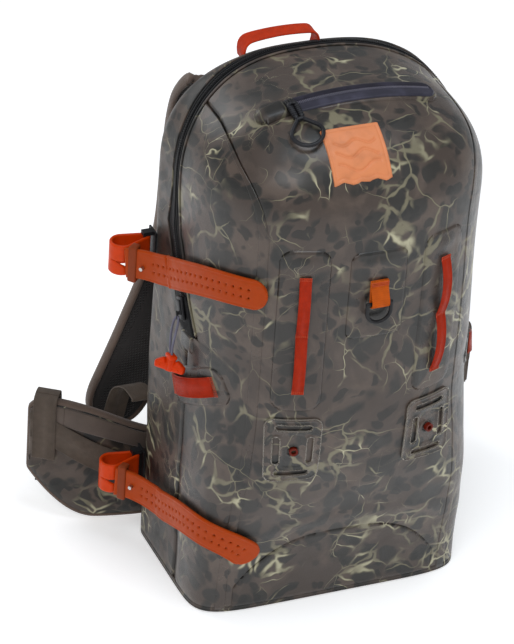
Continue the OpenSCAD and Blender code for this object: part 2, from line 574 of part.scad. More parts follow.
// Waist webbing: sewn to the top of the wing's tip, it hangs behind the wing
tip_at = spline(wing_path, 0.86);
tip_dir = spline_dir(wing_path, 0.86);
tip_out = [tip_dir[1], -tip_dir[0], 0];
tip_high = wing_high(tip_at[0]);
function over_tip(out, z) = tip_at + tip_out * out + [0, 0, z];
waist_path = [over_tip(1, tip_high + 5), over_tip(-7, tip_high + 5.5), over_tip(-13.5, tip_high - 4),
              over_tip(-15, 104), over_tip(-16, 74)];
module hip_webbing(s) color(brown)
    ribbon(side_of(waist_path, s), [s * tip_dir[0], tip_dir[1], 0], web_w, 1.8, 18);
module below_waist(s) translate([s * (tip_at[0] - 16 * tip_out[0]), tip_at[1] - 16 * tip_out[1], 72])
    rotate([0, 0, s * atan2(tip_dir[1], tip_dir[0])]) translate([0, -5, 0]) children();
module hip_buckle_male() color(black) below_waist(-1) buckle_male(34, 42, 10);
module hip_buckle_female() color(black) below_waist(1) buckle_female(34, 40, 10);

// ---------- drawing ----------
front_panel();
side_panel(-1);  // side_panel_left
side_panel(1);  // side_panel_right
rear_gusset();
back_panel();
base_panel();
base_front_patch();
main_zip_tape();
main_zip_coil();
zip_end_stops();
main_zip_slider();
main_zip_cord();
main_zip_handle();
dock_patches();
dock_loops();
pocket_zip_tape();
pocket_zip_coil();
pocket_zip_garage();
pocket_zip_slider();
pocket_zip_pull();
emblem_patch();
lash_panels();
lash_straps();
d_ring();
d_ring_webbing();
tool_plates();
tool_grommets();
carry_handle();
strap_lugs();
upper_strap_loop();
upper_strap_buckle();
upper_strap_prong();
upper_strap_tail();
lower_strap_loop();
lower_strap_buckle();
lower_strap_prong();
lower_strap_tail();
frame_sheet();
inner_pocket();
inner_zip();
back_pads();
lumbar_pad();
shoulder_strap(-1);  // shoulder_strap_left
shoulder_strap(1);  // shoulder_strap_right
ladder_lock(-1);  // ladder_lock_left
ladder_lock(1);  // ladder_lock_right
lower_webbing(-1);  // lower_webbing_left
lower_webbing(1);  // lower_webbing_right
sternum_slider(-1);  // sternum_slider_left
sternum_slider(1);  // sternum_slider_right
sternum_strap(-1);  // sternum_strap_left
sternum_strap(1);  // sternum_strap_right
sternum_buckle_female();
sternum_buckle_male();
hip_wing(-1);  // hip_wing_left
hip_wing(1);  // hip_wing_right
hip_webbing(-1);  // hip_webbing_left
hip_webbing(1);  // hip_webbing_right
hip_buckle_male();
hip_buckle_female();
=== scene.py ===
"""Looks of the zip-sealed tackle backpack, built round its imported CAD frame.

Shapes are worked out in millimetres in the frame's own axes (+Z up, -Y the bag's front) and turned into
metres when a mesh is made. The bag's surface is one formula, and every patch, zip and strap is laid on it.
"""

import json
import math

import bmesh
import bpy
import numpy as np
from mathutils import Matrix, Vector


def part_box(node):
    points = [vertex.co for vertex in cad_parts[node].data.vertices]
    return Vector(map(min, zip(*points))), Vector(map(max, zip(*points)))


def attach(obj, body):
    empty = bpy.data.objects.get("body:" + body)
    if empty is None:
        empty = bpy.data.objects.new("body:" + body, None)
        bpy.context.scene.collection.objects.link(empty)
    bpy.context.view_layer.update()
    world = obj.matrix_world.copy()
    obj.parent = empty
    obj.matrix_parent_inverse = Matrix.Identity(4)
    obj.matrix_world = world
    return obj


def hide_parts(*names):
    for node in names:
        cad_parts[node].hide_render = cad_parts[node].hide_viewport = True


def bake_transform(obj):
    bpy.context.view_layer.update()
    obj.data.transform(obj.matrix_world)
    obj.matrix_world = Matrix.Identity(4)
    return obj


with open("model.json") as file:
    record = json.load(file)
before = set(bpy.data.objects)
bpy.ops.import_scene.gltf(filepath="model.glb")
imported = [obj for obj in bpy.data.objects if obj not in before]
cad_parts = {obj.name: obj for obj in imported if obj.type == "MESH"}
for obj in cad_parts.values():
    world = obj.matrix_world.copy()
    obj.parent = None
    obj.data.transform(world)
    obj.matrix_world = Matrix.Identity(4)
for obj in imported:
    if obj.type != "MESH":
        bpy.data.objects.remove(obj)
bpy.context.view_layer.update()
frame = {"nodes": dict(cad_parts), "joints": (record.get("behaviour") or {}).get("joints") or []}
MM = 0.001


def corners(node):
    """Lowest and highest corner of a CAD node, in millimetres."""
    low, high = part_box(node)
    return np.array(low) / MM, np.array(high) / MM


def joint(name):
    return next(j for j in frame["joints"] if j["name"] == name)


def pivot(name):
    return np.array(joint(name)["pos_m"]) / MM


# ---------------------------------------------------------------- numbers of the bag
HALF = corners("base_panel")[1][0]
BACK = corners("back_panel")[1][1]
BASE_OUT = -corners("base_panel")[0][1]
FRONT_OUT = -corners("front_panel")[0][1]
HEIGHT = corners("front_panel")[1][2]
MID_Y = 8.0
SHOULDER = 450.0
FULL = 252.0
BASE_EXPO, ROUND_EXPO = 7.0, 2.55
REAR_R = 22.0
REAR_Y = BACK - REAR_R
ZIP_END, ZIP_BEND = 306.0, 400.0
ZIP_Y = (-20.0, 28.0, 74.0)
ZIP_W, ZIP_FOOT_W = 19.0, 38.0
SEAM_LOW, SEAM_HIGH = 0.68, 0.54
SIDES = (("left", -1), ("right", 1))


def once(node, s):
    """A node that holds both sides is replaced by the left one's piece."""
    return [node] if s < 0 else []


def smooth(t):
    u = np.clip(t, 0, 1)
    return u * u * (3 - 2 * u)


def lerp(a, b, t):
    return a + (b - a) * t


def power(base, p):
    return np.power(np.maximum(base, 0), p)


def arc(d, r):
    """Quarter round: 0 at an edge, 1 at distance r inside it."""
    return np.sqrt(np.clip(1 - (1 - np.clip(d / r, 0, 1)) ** 2, 0, 1))


def bell(x, middle, width):
    return np.exp(-((x - middle) / width) ** 2)


def unit(v):
    return v / np.maximum(np.linalg.norm(v, axis=-1, keepdims=True), 1e-9)


def walked(path):
    """Distance along a polyline at each of its points."""
    return np.concatenate([[0], np.cumsum(np.linalg.norm(np.diff(path, axis=0), axis=1))])


def resample(want, have, rows):
    """Rows of vectors known at have, read at want."""
    return np.stack([np.interp(want, have, rows[:, i]) for i in range(rows.shape[1])], -1)


def roundness(z):
    return smooth(z / FULL)


def expo(z):
    return lerp(BASE_EXPO, ROUND_EXPO, roundness(z))


def depth(z):
    return MID_Y + lerp(BASE_OUT, FRONT_OUT, roundness(z))


def at(s, v, c):
    """Surface point: station v up the bag (1 shoulder, 2 crest) and wrap c round it (1 is the front)."""
    v, c = np.broadcast_arrays(np.asarray(v, float), np.asarray(c, float))
    z = np.minimum(v, 1) * SHOULDER
    n = expo(z)
    psi = np.maximum(0, v - 1) * np.pi / 2
    ax = HALF * power(np.cos(psi), 2 / n)
    az = (HEIGHT - SHOULDER) * power(np.sin(psi), 2 / n)
    q = MID_Y - 100 * c
    turn = np.maximum(0, q - REAR_Y) / REAR_R
    inner = power(np.cos(np.pi / 2 * np.maximum(c, 0)), 2 / n)
    k = np.where(c < 0, 1 - REAR_R * (1 - np.cos(turn)) / HALF, inner)
    y = np.where(c < 0, np.minimum(q, REAR_Y) + REAR_R * np.sin(turn),
                 MID_Y - depth(z) * power(np.sin(np.pi / 2 * np.clip(c, 0, 1)), 2 / n))
    return np.stack([s * ax * k, y, z + az * k], -1)


def wrap_of(v, y):
    z = np.minimum(v, 1) * SHOULDER
    inner = np.arcsin(np.clip(power((MID_Y - y) / depth(z), expo(z) / 2), 0, 1)) / (np.pi / 2)
    return np.where(y >= MID_Y, (MID_Y - y) / 100, inner)


def front_at(x, z):
    n = expo(z)
    dz = np.maximum(0, z - SHOULDER) / (HEIGHT - SHOULDER)
    return np.stack([x, MID_Y - depth(z) * power(1 - power(abs(x) / HALF, n) - power(dz, n), 1 / n), z], -1)


def dome_at(x, tilt):
    n, t = ROUND_EXPO, np.radians(tilt)
    r = power((1 - power(abs(x) / HALF, n)) / (power(np.sin(t) / (HEIGHT - SHOULDER), n)
                                              + power(np.cos(t) / depth(SHOULDER), n)), 1 / n)
    return np.stack([x + 0 * r, MID_Y - r * np.cos(t), SHOULDER + r * np.sin(t)], -1)


def zip_y(v):
    z = np.minimum(v, 1) * SHOULDER
    low = lerp(ZIP_Y[0], ZIP_Y[1], np.clip((z - ZIP_END) / (ZIP_BEND - ZIP_END), 0, 1))
    return np.where(v > 1, lerp(ZIP_Y[1], ZIP_Y[2], smooth(v - 1)), low)


def zip_half(v):
    return lerp(ZIP_FOOT_W, ZIP_W, smooth((v * SHOULDER - 380) / 70)) / 2


def opening(v):
    return np.where(v * SHOULDER > ZIP_END, zip_half(v), 0.2)


def station_of(x):
    return 1 + np.arccos(power(abs(x) / HALF, ROUND_EXPO / 2)) / (np.pi / 2)


def seam_wrap(v):
    return lerp(SEAM_LOW, SEAM_HIGH, roundness(np.minimum(v, 1) * SHOULDER))


SEAM_TOP_X = HALF * math.cos(math.pi / 2 * SEAM_HIGH) ** (2 / ROUND_EXPO)


def seam_x(tilt):
    return SEAM_TOP_X + 10 * smooth(tilt / 50) + 4 * np.sin(np.radians(2 * tilt))


def seam_station(tilt):
    p = dome_at(seam_x(tilt) + 0.4, tilt)
    ratio = ((p[..., 2] - SHOULDER) / (HEIGHT - SHOULDER)) / (p[..., 0] / HALF)
    return 1 + np.arctan(power(ratio, ROUND_EXPO / 2)) / (np.pi / 2)


def undulate(p):
    """How far the filled bag stands off its ideal surface: broad swells, and creases over the base."""
    x, y, z = p[..., 0], p[..., 1], p[..., 2]
    swell = 0.9 * np.sin(x / 41 + 0.7) * np.sin(z / 57 + 0.4) + 0.6 * np.sin(z / 33 + y / 29 + x / 90)
    ripple = 0.35 * np.sin(z / 11 + 2.2 * np.sin(x / 31 + y / 37)) * bell(z, 150, 80)
    fold = 1.5 * np.exp(-((z - 112 + 0.0016 * x * x) / 9) ** 2) * np.exp(-(x / 120) ** 2)
    dent = -2.0 * np.exp(-((x + 14) / 34) ** 2 - ((z - 300) / 90) ** 2)
    return (swell + ripple + fold + dent) * smooth(z / 40) * smooth((HEIGHT - z + 60) / 90)


# ---------------------------------------------------------------- mesh tools
def in_scene(name, data):
    obj = bpy.data.objects.new(name, data)
    bpy.context.scene.collection.objects.link(obj)
    return obj


def make(name, verts, faces, look, body, replaces=(), slot=None, uv=None, flat=False, marks=None):
    """Mesh object from millimetre vertices, riding on a body."""
    mesh = bpy.data.meshes.new(name)
    corners_m = [tuple(v) for v in np.asarray(verts) * MM]
    mesh.from_pydata(corners_m, [], [tuple(int(i) for i in f) for f in faces])
    mesh.update()
    obj = in_scene(name, mesh)
    for one in look if isinstance(look, (list, tuple)) else [look]:
        mesh.materials.append(one)
    if marks is not None:
        mesh.polygons.foreach_set("material_index", np.asarray(marks, np.int32))
    if uv is not None:
        layer = mesh.uv_layers.new(name="run")
        loops = np.empty(len(mesh.loops), np.int32)
        mesh.loops.foreach_get("vertex_index", loops)
        layer.data.foreach_set("uv", (np.asarray(uv, np.float32) * MM)[loops].ravel())
    if not flat:
        mesh.polygons.foreach_set("use_smooth", np.ones(len(mesh.polygons), bool))
    settle(obj, body, replaces, slot)
    return obj


def settle(obj, body, replaces=(), slot=None):
    """Hangs a finished piece on its body and hides the parts it replaces; it works out the slot that its
    first look belongs to unless told, but does not use it.
    """
    slot = slot or SLOT_OF.get(obj.data.materials[0].name)
    if isinstance(body, str):
        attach(obj, body)
    if replaces:
        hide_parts(*replaces)


def outward(mesh_obj):
    """Turns all faces of a closed mesh outwards."""
    bm = bmesh.new()
    bm.from_mesh(mesh_obj.data)
    bmesh.ops.recalc_face_normals(bm, faces=bm.faces)
    bm.to_mesh(mesh_obj.data)
    bm.free()
    return mesh_obj


def face_away(n, p, away):
    """Normals n at points p, each turned to point away from its own inner point."""
    return n * np.where((n * (p - away)).sum(-1, keepdims=True) < 0, -1, 1)


def grid_normals(p, away):
    du, dv = np.gradient(p, axis=0), np.gradient(p, axis=1)
    n = np.cross(du, dv)
    return face_away(unit(n), p, away)


def core_of(p):
    """Point on the bag's inner axis that a surface point faces away from."""
    c = np.zeros_like(p)
    c[..., 1] = 10.0
    c[..., 2] = np.minimum(p[..., 2], 430.0)
    return c


def surface_normal(f, a, b, e=0.4):
    p = f(a, b)
    n = np.cross(f(a + e, b) - f(a - e, b), f(a, b + e) - f(a, b - e))
    return p, face_away(unit(n), p, core_of(p))


def lay_on(f):
    """Turns flat coordinates and a height into points over the swelled surface f."""
    def place(a, b, h):
        p, n = surface_normal(f, a, b)
        return p + n * (undulate(p) + h)[..., None]
    return place


ON_FRONT = lay_on(front_at)


def slab(top, bottom):
    """Vertices and faces of a closed slab between two grids of points."""
    nu, nv = top.shape[:2]
    k = np.arange(nu * nv).reshape(nu, nv)
    m = nu * nv
    a, b, c, d = k[:-1, :-1].ravel(), k[1:, :-1].ravel(), k[1:, 1:].ravel(), k[:-1, 1:].ravel()
    faces = [np.stack([a, b, c, d], 1), np.stack([a, d, c, b], 1) + m]
    for edge in (k[0, ::-1], k[-1], k[:, 0], k[::-1, -1]):
        faces.append(np.stack([edge[:-1], edge[:-1] + m, edge[1:] + m, edge[1:]], 1))
    return np.concatenate([top.reshape(-1, 3), bottom.reshape(-1, 3)]), np.concatenate(faces)


def edge_distance(p):
    """Distance of each grid point from the grid's four edges."""
    du = np.linalg.norm(np.diff(p, axis=0), axis=-1)
    dv = np.linalg.norm(np.diff(p, axis=1), axis=-1)
    u0 = np.concatenate([np.zeros((1, p.shape[1])), np.cumsum(du, 0)])
    v0 = np.concatenate([np.zeros((p.shape[0], 1)), np.cumsum(dv, 1)], 1)
    return np.minimum.reduce([u0, u0[-1:] - u0, v0, v0[:, -1:] - v0])


def panel(name, p, look, body, thick=1.6, roll=2.2, **kw):
    """Fabric panel from a grid of ideal surface points, with rolled edges."""
    n = grid_normals(p, core_of(p))
    swell = undulate(p)[..., None] * n
    drop = roll * (1 - np.sqrt(1 - (1 - np.clip(edge_distance(p) / roll, 0, 1)) ** 2))
    top = p + swell - n * np.minimum(drop, thick * 0.9)[..., None]
    verts, faces = slab(top, p + swell - n * thick)
    return outward(make(name, verts, faces, look, body, **kw))


def rounded_top(t, r):
    """Height profile with an edge of radius r."""
    return lambda x, y, d: t * arc(d, r)


def plate(name, sdf, box, cell, top, place, look, body, base=-0.4, marker=None, **kw):
    """Patch cut out by a signed distance function and laid on a surface, with any holes it has."""
    xs = np.arange(box[0] - cell, box[1] + 1.5 * cell, cell)
    ys = np.arange(box[2] - cell, box[3] + 1.5 * cell, cell)
    x, y = np.meshgrid(xs, ys, indexing="ij")
    d, e = sdf(x, y), 0.2 * cell
    gx = (sdf(x + e, y) - sdf(x - e, y)) / (2 * e)
    gy = (sdf(x, y + e) - sdf(x, y - e)) / (2 * e)
    near = abs(d) < 0.72 * cell
    g2 = np.maximum(gx * gx + gy * gy, 0.3)
    x, y = np.where(near, x - d * gx / g2, x), np.where(near, y - d * gy / g2, y)
    d = np.where(near, 0, d)
    used = d <= 0
    k = np.full(d.shape, -1)
    k[used] = np.arange(used.sum())
    quad = np.stack([k[:-1, :-1], k[1:, :-1], k[1:, 1:], k[:-1, 1:]], -1).reshape(-1, 4)
    mid = sdf((x[:-1, :-1] + x[1:, 1:] + x[1:, :-1] + x[:-1, 1:]) / 4,
              (y[:-1, :-1] + y[1:, 1:] + y[1:, :-1] + y[:-1, 1:]) / 4).ravel() < 0.02 * cell
    have = (quad >= 0).sum(1)
    faces = [tuple(q) for q in quad[(have == 4) & mid]]
    faces += [tuple(i for i in q if i >= 0) for q in quad[have == 3]]
    px, py, pd = x[used], y[used], np.maximum(-d[used], 0)
    high = place(px, py, top(px, py, pd))
    low = place(px, py, base(px, py, pd) if callable(base) else np.full(px.shape, float(base)))
    m = len(px)
    seen = {}
    for f in faces:
        for i, j in zip(f, f[1:] + f[:1]):
            seen[(i, j)] = True
    rim = [(i, j) for (i, j) in seen if (j, i) not in seen]
    everything = faces + [tuple(i + m for i in reversed(f)) for f in faces]
    everything += [(j, i, i + m, j + m) for i, j in rim]
    uv = np.tile(np.stack([px, py], 1), (2, 1))
    marks = None
    if marker is not None:
        tops = [int(marker(px[list(f)].mean(), py[list(f)].mean())) for f in faces]
        marks = tops + tops + [0] * len(rim)
    return outward(make(name, np.concatenate([high, low]), everything, look, body, uv=uv, marks=marks, **kw))


def round_rect(hx, hy, r, cx=0.0, cy=0.0):
    def sdf(x, y):
        qx, qy = abs(x - cx) - hx + r, abs(y - cy) - hy + r
        return np.hypot(np.maximum(qx, 0), np.maximum(qy, 0)) + np.minimum(np.maximum(qx, qy), 0) - r
    return sdf


def disc(cx, cy, r):
    return lambda x, y: np.hypot(x - cx, y - cy) - r


def carve(body, *holes):
    return lambda x, y: np.maximum.reduce([body(x, y)] + [-h(x, y) for h in holes])


def spline(points, t):
    """Catmull-Rom curve through points, at parameters t from 0 to 1."""
    p = np.asarray(points, float)
    n = len(p) - 1
    q = np.clip(np.asarray(t, float) * n, 0, n - 1e-6)
    k = np.floor(q).astype(int)
    f = (q - k)[..., None]
    a, b, c, d = p[np.maximum(k - 1, 0)], p[k], p[k + 1], p[np.minimum(k + 2, n)]
    square, cube = 2 * a - 5 * b + 4 * c - d, 3 * b - a - 3 * c + d
    return 0.5 * (2 * b + (c - a) * f + square * f * f + cube * f ** 3)


def even(points, step, closed=False):
    """Points spread evenly along a dense polyline."""
    p = np.asarray(points, float)
    if closed:
        p = np.concatenate([p, p[:1]])
    s = walked(p)
    n = max(int(round(s[-1] / step)), 3)
    want = np.linspace(0, s[-1], n + 1)[: n if closed else n + 1]
    return resample(want, s, p)


def along(path, closed=False):
    """Unit directions along a polyline."""
    if closed:
        d = np.roll(path, -1, 0) - np.roll(path, 1, 0)
    else:
        d = np.gradient(path, axis=0)
    return unit(d)


def sweep(name, path, across, profile, look, body, closed=False, **kw):
    """Closed profile swept along a path. across is the sideways direction, one for all sections or one each.
    The profile's points are (sideways, upwards) and may differ from section to section."""
    t, across = along(path, closed), np.asarray(across, float)
    b = unit(across - t * (across * t).sum(1, keepdims=True))
    up = np.cross(b, t)
    rings, uv = [], []
    s = walked(path)
    for i in range(len(path)):
        q = np.asarray(profile(i) if callable(profile) else profile, float)
        rings.append(path[i] + q[:, :1] * b[i] + q[:, 1:] * up[i])
        uv.append(np.stack([np.full(len(q), s[i]), q[:, 0]], 1))
    m, n = len(rings[0]), len(rings)
    faces = []
    for i in range(n if closed else n - 1):
        here, there = i * m, (i + 1) % n * m
        for j in range(m):
            k = (j + 1) % m
            faces.append((here + j, here + k, there + k, there + j))
    if not closed:
        faces += [tuple(range(m))[::-1], tuple((n - 1) * m + j for j in range(m))]
    return outward(make(name, np.concatenate(rings), faces, look, body, uv=np.concatenate(uv), **kw))


def band_profile(w, t, r=None):
    """Flat band with rounded edges."""
    r = t / 2 if r is None else r
    pts = []
    for side in (1, -1):
        for a in np.linspace(-90, 90, 5):
            c, s_ = math.cos(math.radians(a)), math.sin(math.radians(a))
            pts.append((side * (w / 2 - r + r * c), side * s_ * t / 2))
        for f in (0.5, 0.0, -0.5):
            pts.append((side * f * (w - 2 * r), side * t / 2))
    return np.array(pts)


def round_profile(r, sides=10):
    a = np.arange(sides) * 2 * math.pi / sides
    return np.stack([r * np.cos(a), r * np.sin(a)], 1)


def frame_axis(path, closed=False):
    """Sideways directions for a round sweep: any vector square to the path, turned as little as possible."""
    t = along(path, closed)
    out = [unit(np.cross(t[0], [0.31, 0.52, 0.79]))]
    for k in range(1, len(path)):
        out.append(unit(out[-1] - t[k] * (out[-1] @ t[k])))
    return np.array(out)


def tube(name, path, r, look, body, closed=False, **kw):
    return sweep(name, path, frame_axis(path, closed), round_profile(r), look, body, closed, **kw)


class Solid:
    """Collects bevelled blocks and rods into one mesh."""

    def __init__(self):
        self.bm = bmesh.new()

    def _merge(self, part, place):
        part.transform(place)
        mesh = bpy.data.meshes.new("part")
        part.to_mesh(mesh)
        part.free()
        self.bm.from_mesh(mesh)
        bpy.data.meshes.remove(mesh)
        return self

    def block(self, size, place=Matrix(), r=1.0, segments=3):
        part = bmesh.new()
        bmesh.ops.create_cube(part, size=1.0)
        bmesh.ops.scale(part, vec=size, verts=part.verts)
        bmesh.ops.bevel(part, geom=list(part.edges), offset=r, segments=segments, profile=0.5, affect="EDGES")
        return self._merge(part, place)

    def rod(self, r, length, place=Matrix(), sides=28, bevel=0.5, r2=None):
        part = bmesh.new()
        bmesh.ops.create_cone(part, cap_ends=True, segments=sides, radius1=r, radius2=r2 or r, depth=length)
        rims = [e for e in part.edges if abs(e.verts[0].co.z - e.verts[1].co.z) < 1e-6]
        bmesh.ops.bevel(part, geom=rims, offset=bevel, segments=2, profile=0.5, affect="EDGES")
        return self._merge(part, place)

    def done(self, name, look, body, **kw):
        self.bm.transform(Matrix.Scale(MM, 4))
        bmesh.ops.recalc_face_normals(self.bm, faces=self.bm.faces)
        mesh = bpy.data.meshes.new(name)
        self.bm.to_mesh(mesh)
        self.bm.free()
        mesh.materials.append(look)
        mesh.polygons.foreach_set("use_smooth", np.ones(len(mesh.polygons), bool))
        obj = in_scene(name, mesh)
        settle(obj, body, **kw)
        return obj


def to(x, y, z):
    return Matrix.Translation((x, y, z))


def turn(deg, axis):
    return Matrix.Rotation(math.radians(deg), 4, axis)


def stitches(name, lines, look, body, pitch=3.4, length=2.3, r=0.35, rise=0.25, across=False, **kw):
    """Rows of short sewn stitches, or of zip teeth across the row. Each line is (path, normals)."""
    verts, faces = [], []
    ring = 6
    shape = ((-0.5, 0.3, 0), (-0.25, 1, 1), (0.25, 1, 1), (0.5, 0.3, 0))
    for path, normals in lines:
        p = even(path, pitch)
        f = np.linspace(0, 1, len(p))
        n = resample(f, np.linspace(0, 1, len(normals)), normals)
        for c, d, up in zip(p, along(p), unit(n)):
            side = np.cross(d, up)
            if across:
                d, side = side, d
            o = len(verts)
            for g, size, h in shape:
                for j in range(ring):
                    a = 2 * math.pi * j / ring
                    verts.append(c + d * g * length + up * (rise * h + size * r * math.sin(a))
                                 + side * size * r * math.cos(a))
            for k in range(3):
                for j in range(ring):
                    faces.append((o + k * ring + j, o + k * ring + (j + 1) % ring,
                                  o + (k + 1) * ring + (j + 1) % ring, o + (k + 1) * ring + j))
            faces += [tuple(o + j for j in range(ring))[::-1], tuple(o + 3 * ring + j for j in range(ring))]
    return outward(make(name, verts, faces, look, body, **kw))


# ---------------------------------------------------------------- materials
def srgb(r, g, b):
    """Linear colour from 0-255 screen values."""
    def linear(c):
        return c / 255 / 12.92 if c <= 10 else ((c / 255 + 0.055) / 1.055) ** 2.4
    return linear(r), linear(g), linear(b), 1.0


def dim(colour, f):
    return tuple(c * f for c in colour[:3]) + (1,)


class Look:
    """A node material being built: small helpers over Blender's shader nodes."""

    def __init__(self, name):
        self.mat = bpy.data.materials.new(name)
        self.mat.use_nodes = True
        self.tree = self.mat.node_tree
        self.shader = self.tree.nodes["Principled BSDF"]
        self.coord = self.tree.nodes.new("ShaderNodeTexCoord")

    def node(self, kind, settings=None, **inputs):
        n = self.tree.nodes.new("ShaderNode" + kind)
        for k, v in (settings or {}).items():
            setattr(n, k, v)
        for k, v in inputs.items():
            self.feed(n.inputs[int(k[1:])] if k[0] == "i" and k[1:].isdigit() else n.inputs[k], v)
        return n

    def feed(self, socket, value):
        if isinstance(value, bpy.types.NodeSocket):
            self.tree.links.new(value, socket)
        else:
            socket.default_value = value

    def place(self, scale=(1, 1, 1), source="Object", rotation=(0, 0, 0)):
        n = self.node("Mapping", Vector=self.coord.outputs[source])
        n.inputs["Scale"].default_value = scale
        n.inputs["Rotation"].default_value = rotation
        return n.outputs[0]

    def noise(self, scale, detail=2.0, where=None, rough=0.5, twist=0.0, colour=False):
        n = self.node("TexNoise", Scale=scale, Detail=detail, Roughness=rough, Distortion=twist)
        self.feed(n.inputs["Vector"], where or self.coord.outputs["Object"])
        return n.outputs["Color" if colour else "Fac"]

    def cells(self, scale, where=None, feature="DISTANCE_TO_EDGE", jitter=1.0):
        n = self.node("TexVoronoi", {"feature": feature}, Scale=scale, Randomness=jitter)
        self.feed(n.inputs["Vector"], where or self.coord.outputs["Object"])
        return n.outputs["Distance"]

    def math(self, op, a, b=0.0, c=0.0):
        return self.node("Math", {"operation": op}, i0=a, i1=b, i2=c).outputs[0]

    def times(self, a, b):
        return self.math("MULTIPLY", a, b)

    def span(self, value, a, b, lo=0.0, hi=1.0, soft=True):
        n = self.node("MapRange", {"interpolation_type": "SMOOTHSTEP" if soft else "LINEAR"})
        for k, v in enumerate((value, a, b, lo, hi)):
            self.feed(n.inputs[k], v)
        return n.outputs[0]

    def vary(self, scale, detail, low, high):
        """A value that drifts between low and high over the surface."""
        return self.span(self.noise(scale, detail), 0.3, 0.7, low, high, soft=False)

    def mix(self, a, b, share, mode="MIX"):
        n = self.node("Mix", {"data_type": "RGBA", "blend_type": mode})
        self.feed(n.inputs[0], share)
        self.feed(n.inputs[6], a)
        self.feed(n.inputs[7], b)
        return n.outputs[2]

    def bump(self, height, distance, strength=1.0, after=None):
        n = self.node("Bump", Height=height, Distance=distance, Strength=strength)
        if after is not None:
            self.feed(n.inputs["Normal"], after)
        return n.outputs[0]

    def finish(self, colour, rough, normal=None, **extra):
        self.feed(self.shader.inputs["Base Color"], colour)
        self.feed(self.shader.inputs["Roughness"], rough)
        if normal is not None:
            self.feed(self.shader.inputs["Normal"], normal)
        for k, v in extra.items():
            self.feed(self.shader.inputs[k.replace("_", " ")], v)
        return self.mat


TAUPE, TAUPE_LIGHT = srgb(67, 56, 49), srgb(84, 71, 62)
MOSS, MOSS_DARK = srgb(36, 35, 32), srgb(25, 25, 23)
VEIN, VEIN_HOT = srgb(120, 114, 91), srgb(188, 183, 152)


def coated_camo(name, shade=1.0, gloss=0.38, coat=0.6):
    """Coated fabric printed with dark pools and bright, broken water lines."""
    k = Look(name)
    drift = k.node("VectorMath", {"operation": "MULTIPLY_ADD"}, i0=k.noise(9, 2, colour=True))
    drift.inputs[1].default_value = (0.075, 0.075, 0.075)
    k.feed(drift.inputs[2], k.coord.outputs["Object"])
    fine = k.node("VectorMath", {"operation": "MULTIPLY_ADD"}, i0=k.noise(34, 2, colour=True))
    fine.inputs[1].default_value = (0.022, 0.022, 0.022)
    k.feed(fine.inputs[2], drift.outputs[0])
    where = fine.outputs[0]

    def pools(scale, low, high, channel):
        """Rounded pools: some of the cells of a net, soft at their edges."""
        cell = k.cells(scale, where)
        spot = k.node("TexVoronoi", {"feature": "F1"}, Vector=where, Scale=scale)
        tint = spot.outputs["Color"]
        chance = k.math("ADD", k.node("SeparateColor", Color=tint).outputs[channel],
                        k.times(k.noise(9, 2), 0.6))
        return cell, k.times(k.span(spot.outputs["Distance"], 0.62, 0.42),
                             k.span(chance, low, high))

    cell, big = pools(44, 0.62, 0.72, 0)
    small = pools(82, 0.82, 0.92, 1)[1]
    ground = k.mix(TAUPE, TAUPE_LIGHT, k.span(k.noise(24, 3, where), 0.46, 0.64))
    ground = k.mix(ground, MOSS, k.times(big, 0.92))
    ground = k.mix(ground, MOSS_DARK, k.times(small, 0.8))

    reach = k.span(k.noise(15, 2), 0.42, 0.66, 0.004, 0.15)
    share = k.math("DIVIDE", cell, reach)
    line = k.times(k.span(share, 1.0, 0.3), k.span(k.noise(21, 2), 0.48, 0.62, 0.0, 0.9))
    width = k.span(k.noise(10, 2), 0.40, 0.66, 0.004, 0.032)
    long = k.span(k.math("DIVIDE", k.cells(15.5, where), width), 1.0, 0.3)
    long = k.times(long, k.span(k.noise(19, 2, rough=0.6), 0.44, 0.58, 0.0, 0.95))
    colour = k.mix(ground, VEIN, k.math("MAXIMUM", line, long))
    glints = k.times(line, k.span(k.noise(23, 2), 0.48, 0.62))
    hot = k.times(k.span(share, 0.7, 0.1), glints)
    colour = k.mix(colour, VEIN_HOT, hot)
    colour = k.mix(colour, (shade, shade, shade, 1), 1.0, "MULTIPLY")
    grain = k.vary(900, 2, 0.93, 1.05)
    speck = k.node("HueSaturation", Value=grain, Color=colour).outputs[0]

    weave = k.math("ADD", k.node("TexWave", {"bands_direction": "Z"}, Scale=420.0).outputs["Fac"],
                   k.node("TexWave", {"bands_direction": "X"}, Scale=420.0).outputs["Fac"])
    normal = k.bump(weave, 0.00005, 0.35)
    normal = k.bump(k.noise(70, 3), 0.0009, 0.35, normal)
    rough = k.vary(60, 3, gloss - 0.05, gloss + 0.12)
    return k.finish(speck, rough, normal, Coat_Weight=coat * 0.6, Coat_Roughness=0.24,
                    Specular_IOR_Level=0.36)


def plain_weave(name, colour, rough=0.75, threads=650, depth_m=0.00012, fleck=0.18, sheen=0.2, spec=0.3):
    """Woven cloth: crossed threads with painted shade between them, a little colour change and some wear."""
    k = Look(name)
    a = k.node("TexWave", {"bands_direction": "X"}, Scale=threads, Distortion=0.6).outputs["Fac"]
    b = k.node("TexWave", {"bands_direction": "Z"}, Scale=threads, Distortion=0.6).outputs["Fac"]
    c = k.node("TexWave", {"bands_direction": "Y"}, Scale=threads, Distortion=0.6).outputs["Fac"]
    weave = k.math("MAXIMUM", k.math("MAXIMUM", a, b), c)
    tone = k.vary(35, 4, 1 - fleck, 1 + fleck)
    # painted shade: the colour drops to 0.8 in the hollows between threads and rises to 1.08 on them
    dark = k.node("HueSaturation", Value=k.times(tone, k.span(weave, 0, 1, 0.8, 1.08, soft=False)),
                  Color=colour).outputs[0]
    normal = k.bump(weave, depth_m, 0.7)
    normal = k.bump(k.noise(45, 3), 0.0012, 0.3, normal)
    return k.finish(dark, k.vary(80, 2, rough - 0.06, rough + 0.08), normal,
                    Sheen_Weight=sheen, Sheen_Roughness=0.5, Specular_IOR_Level=spec)


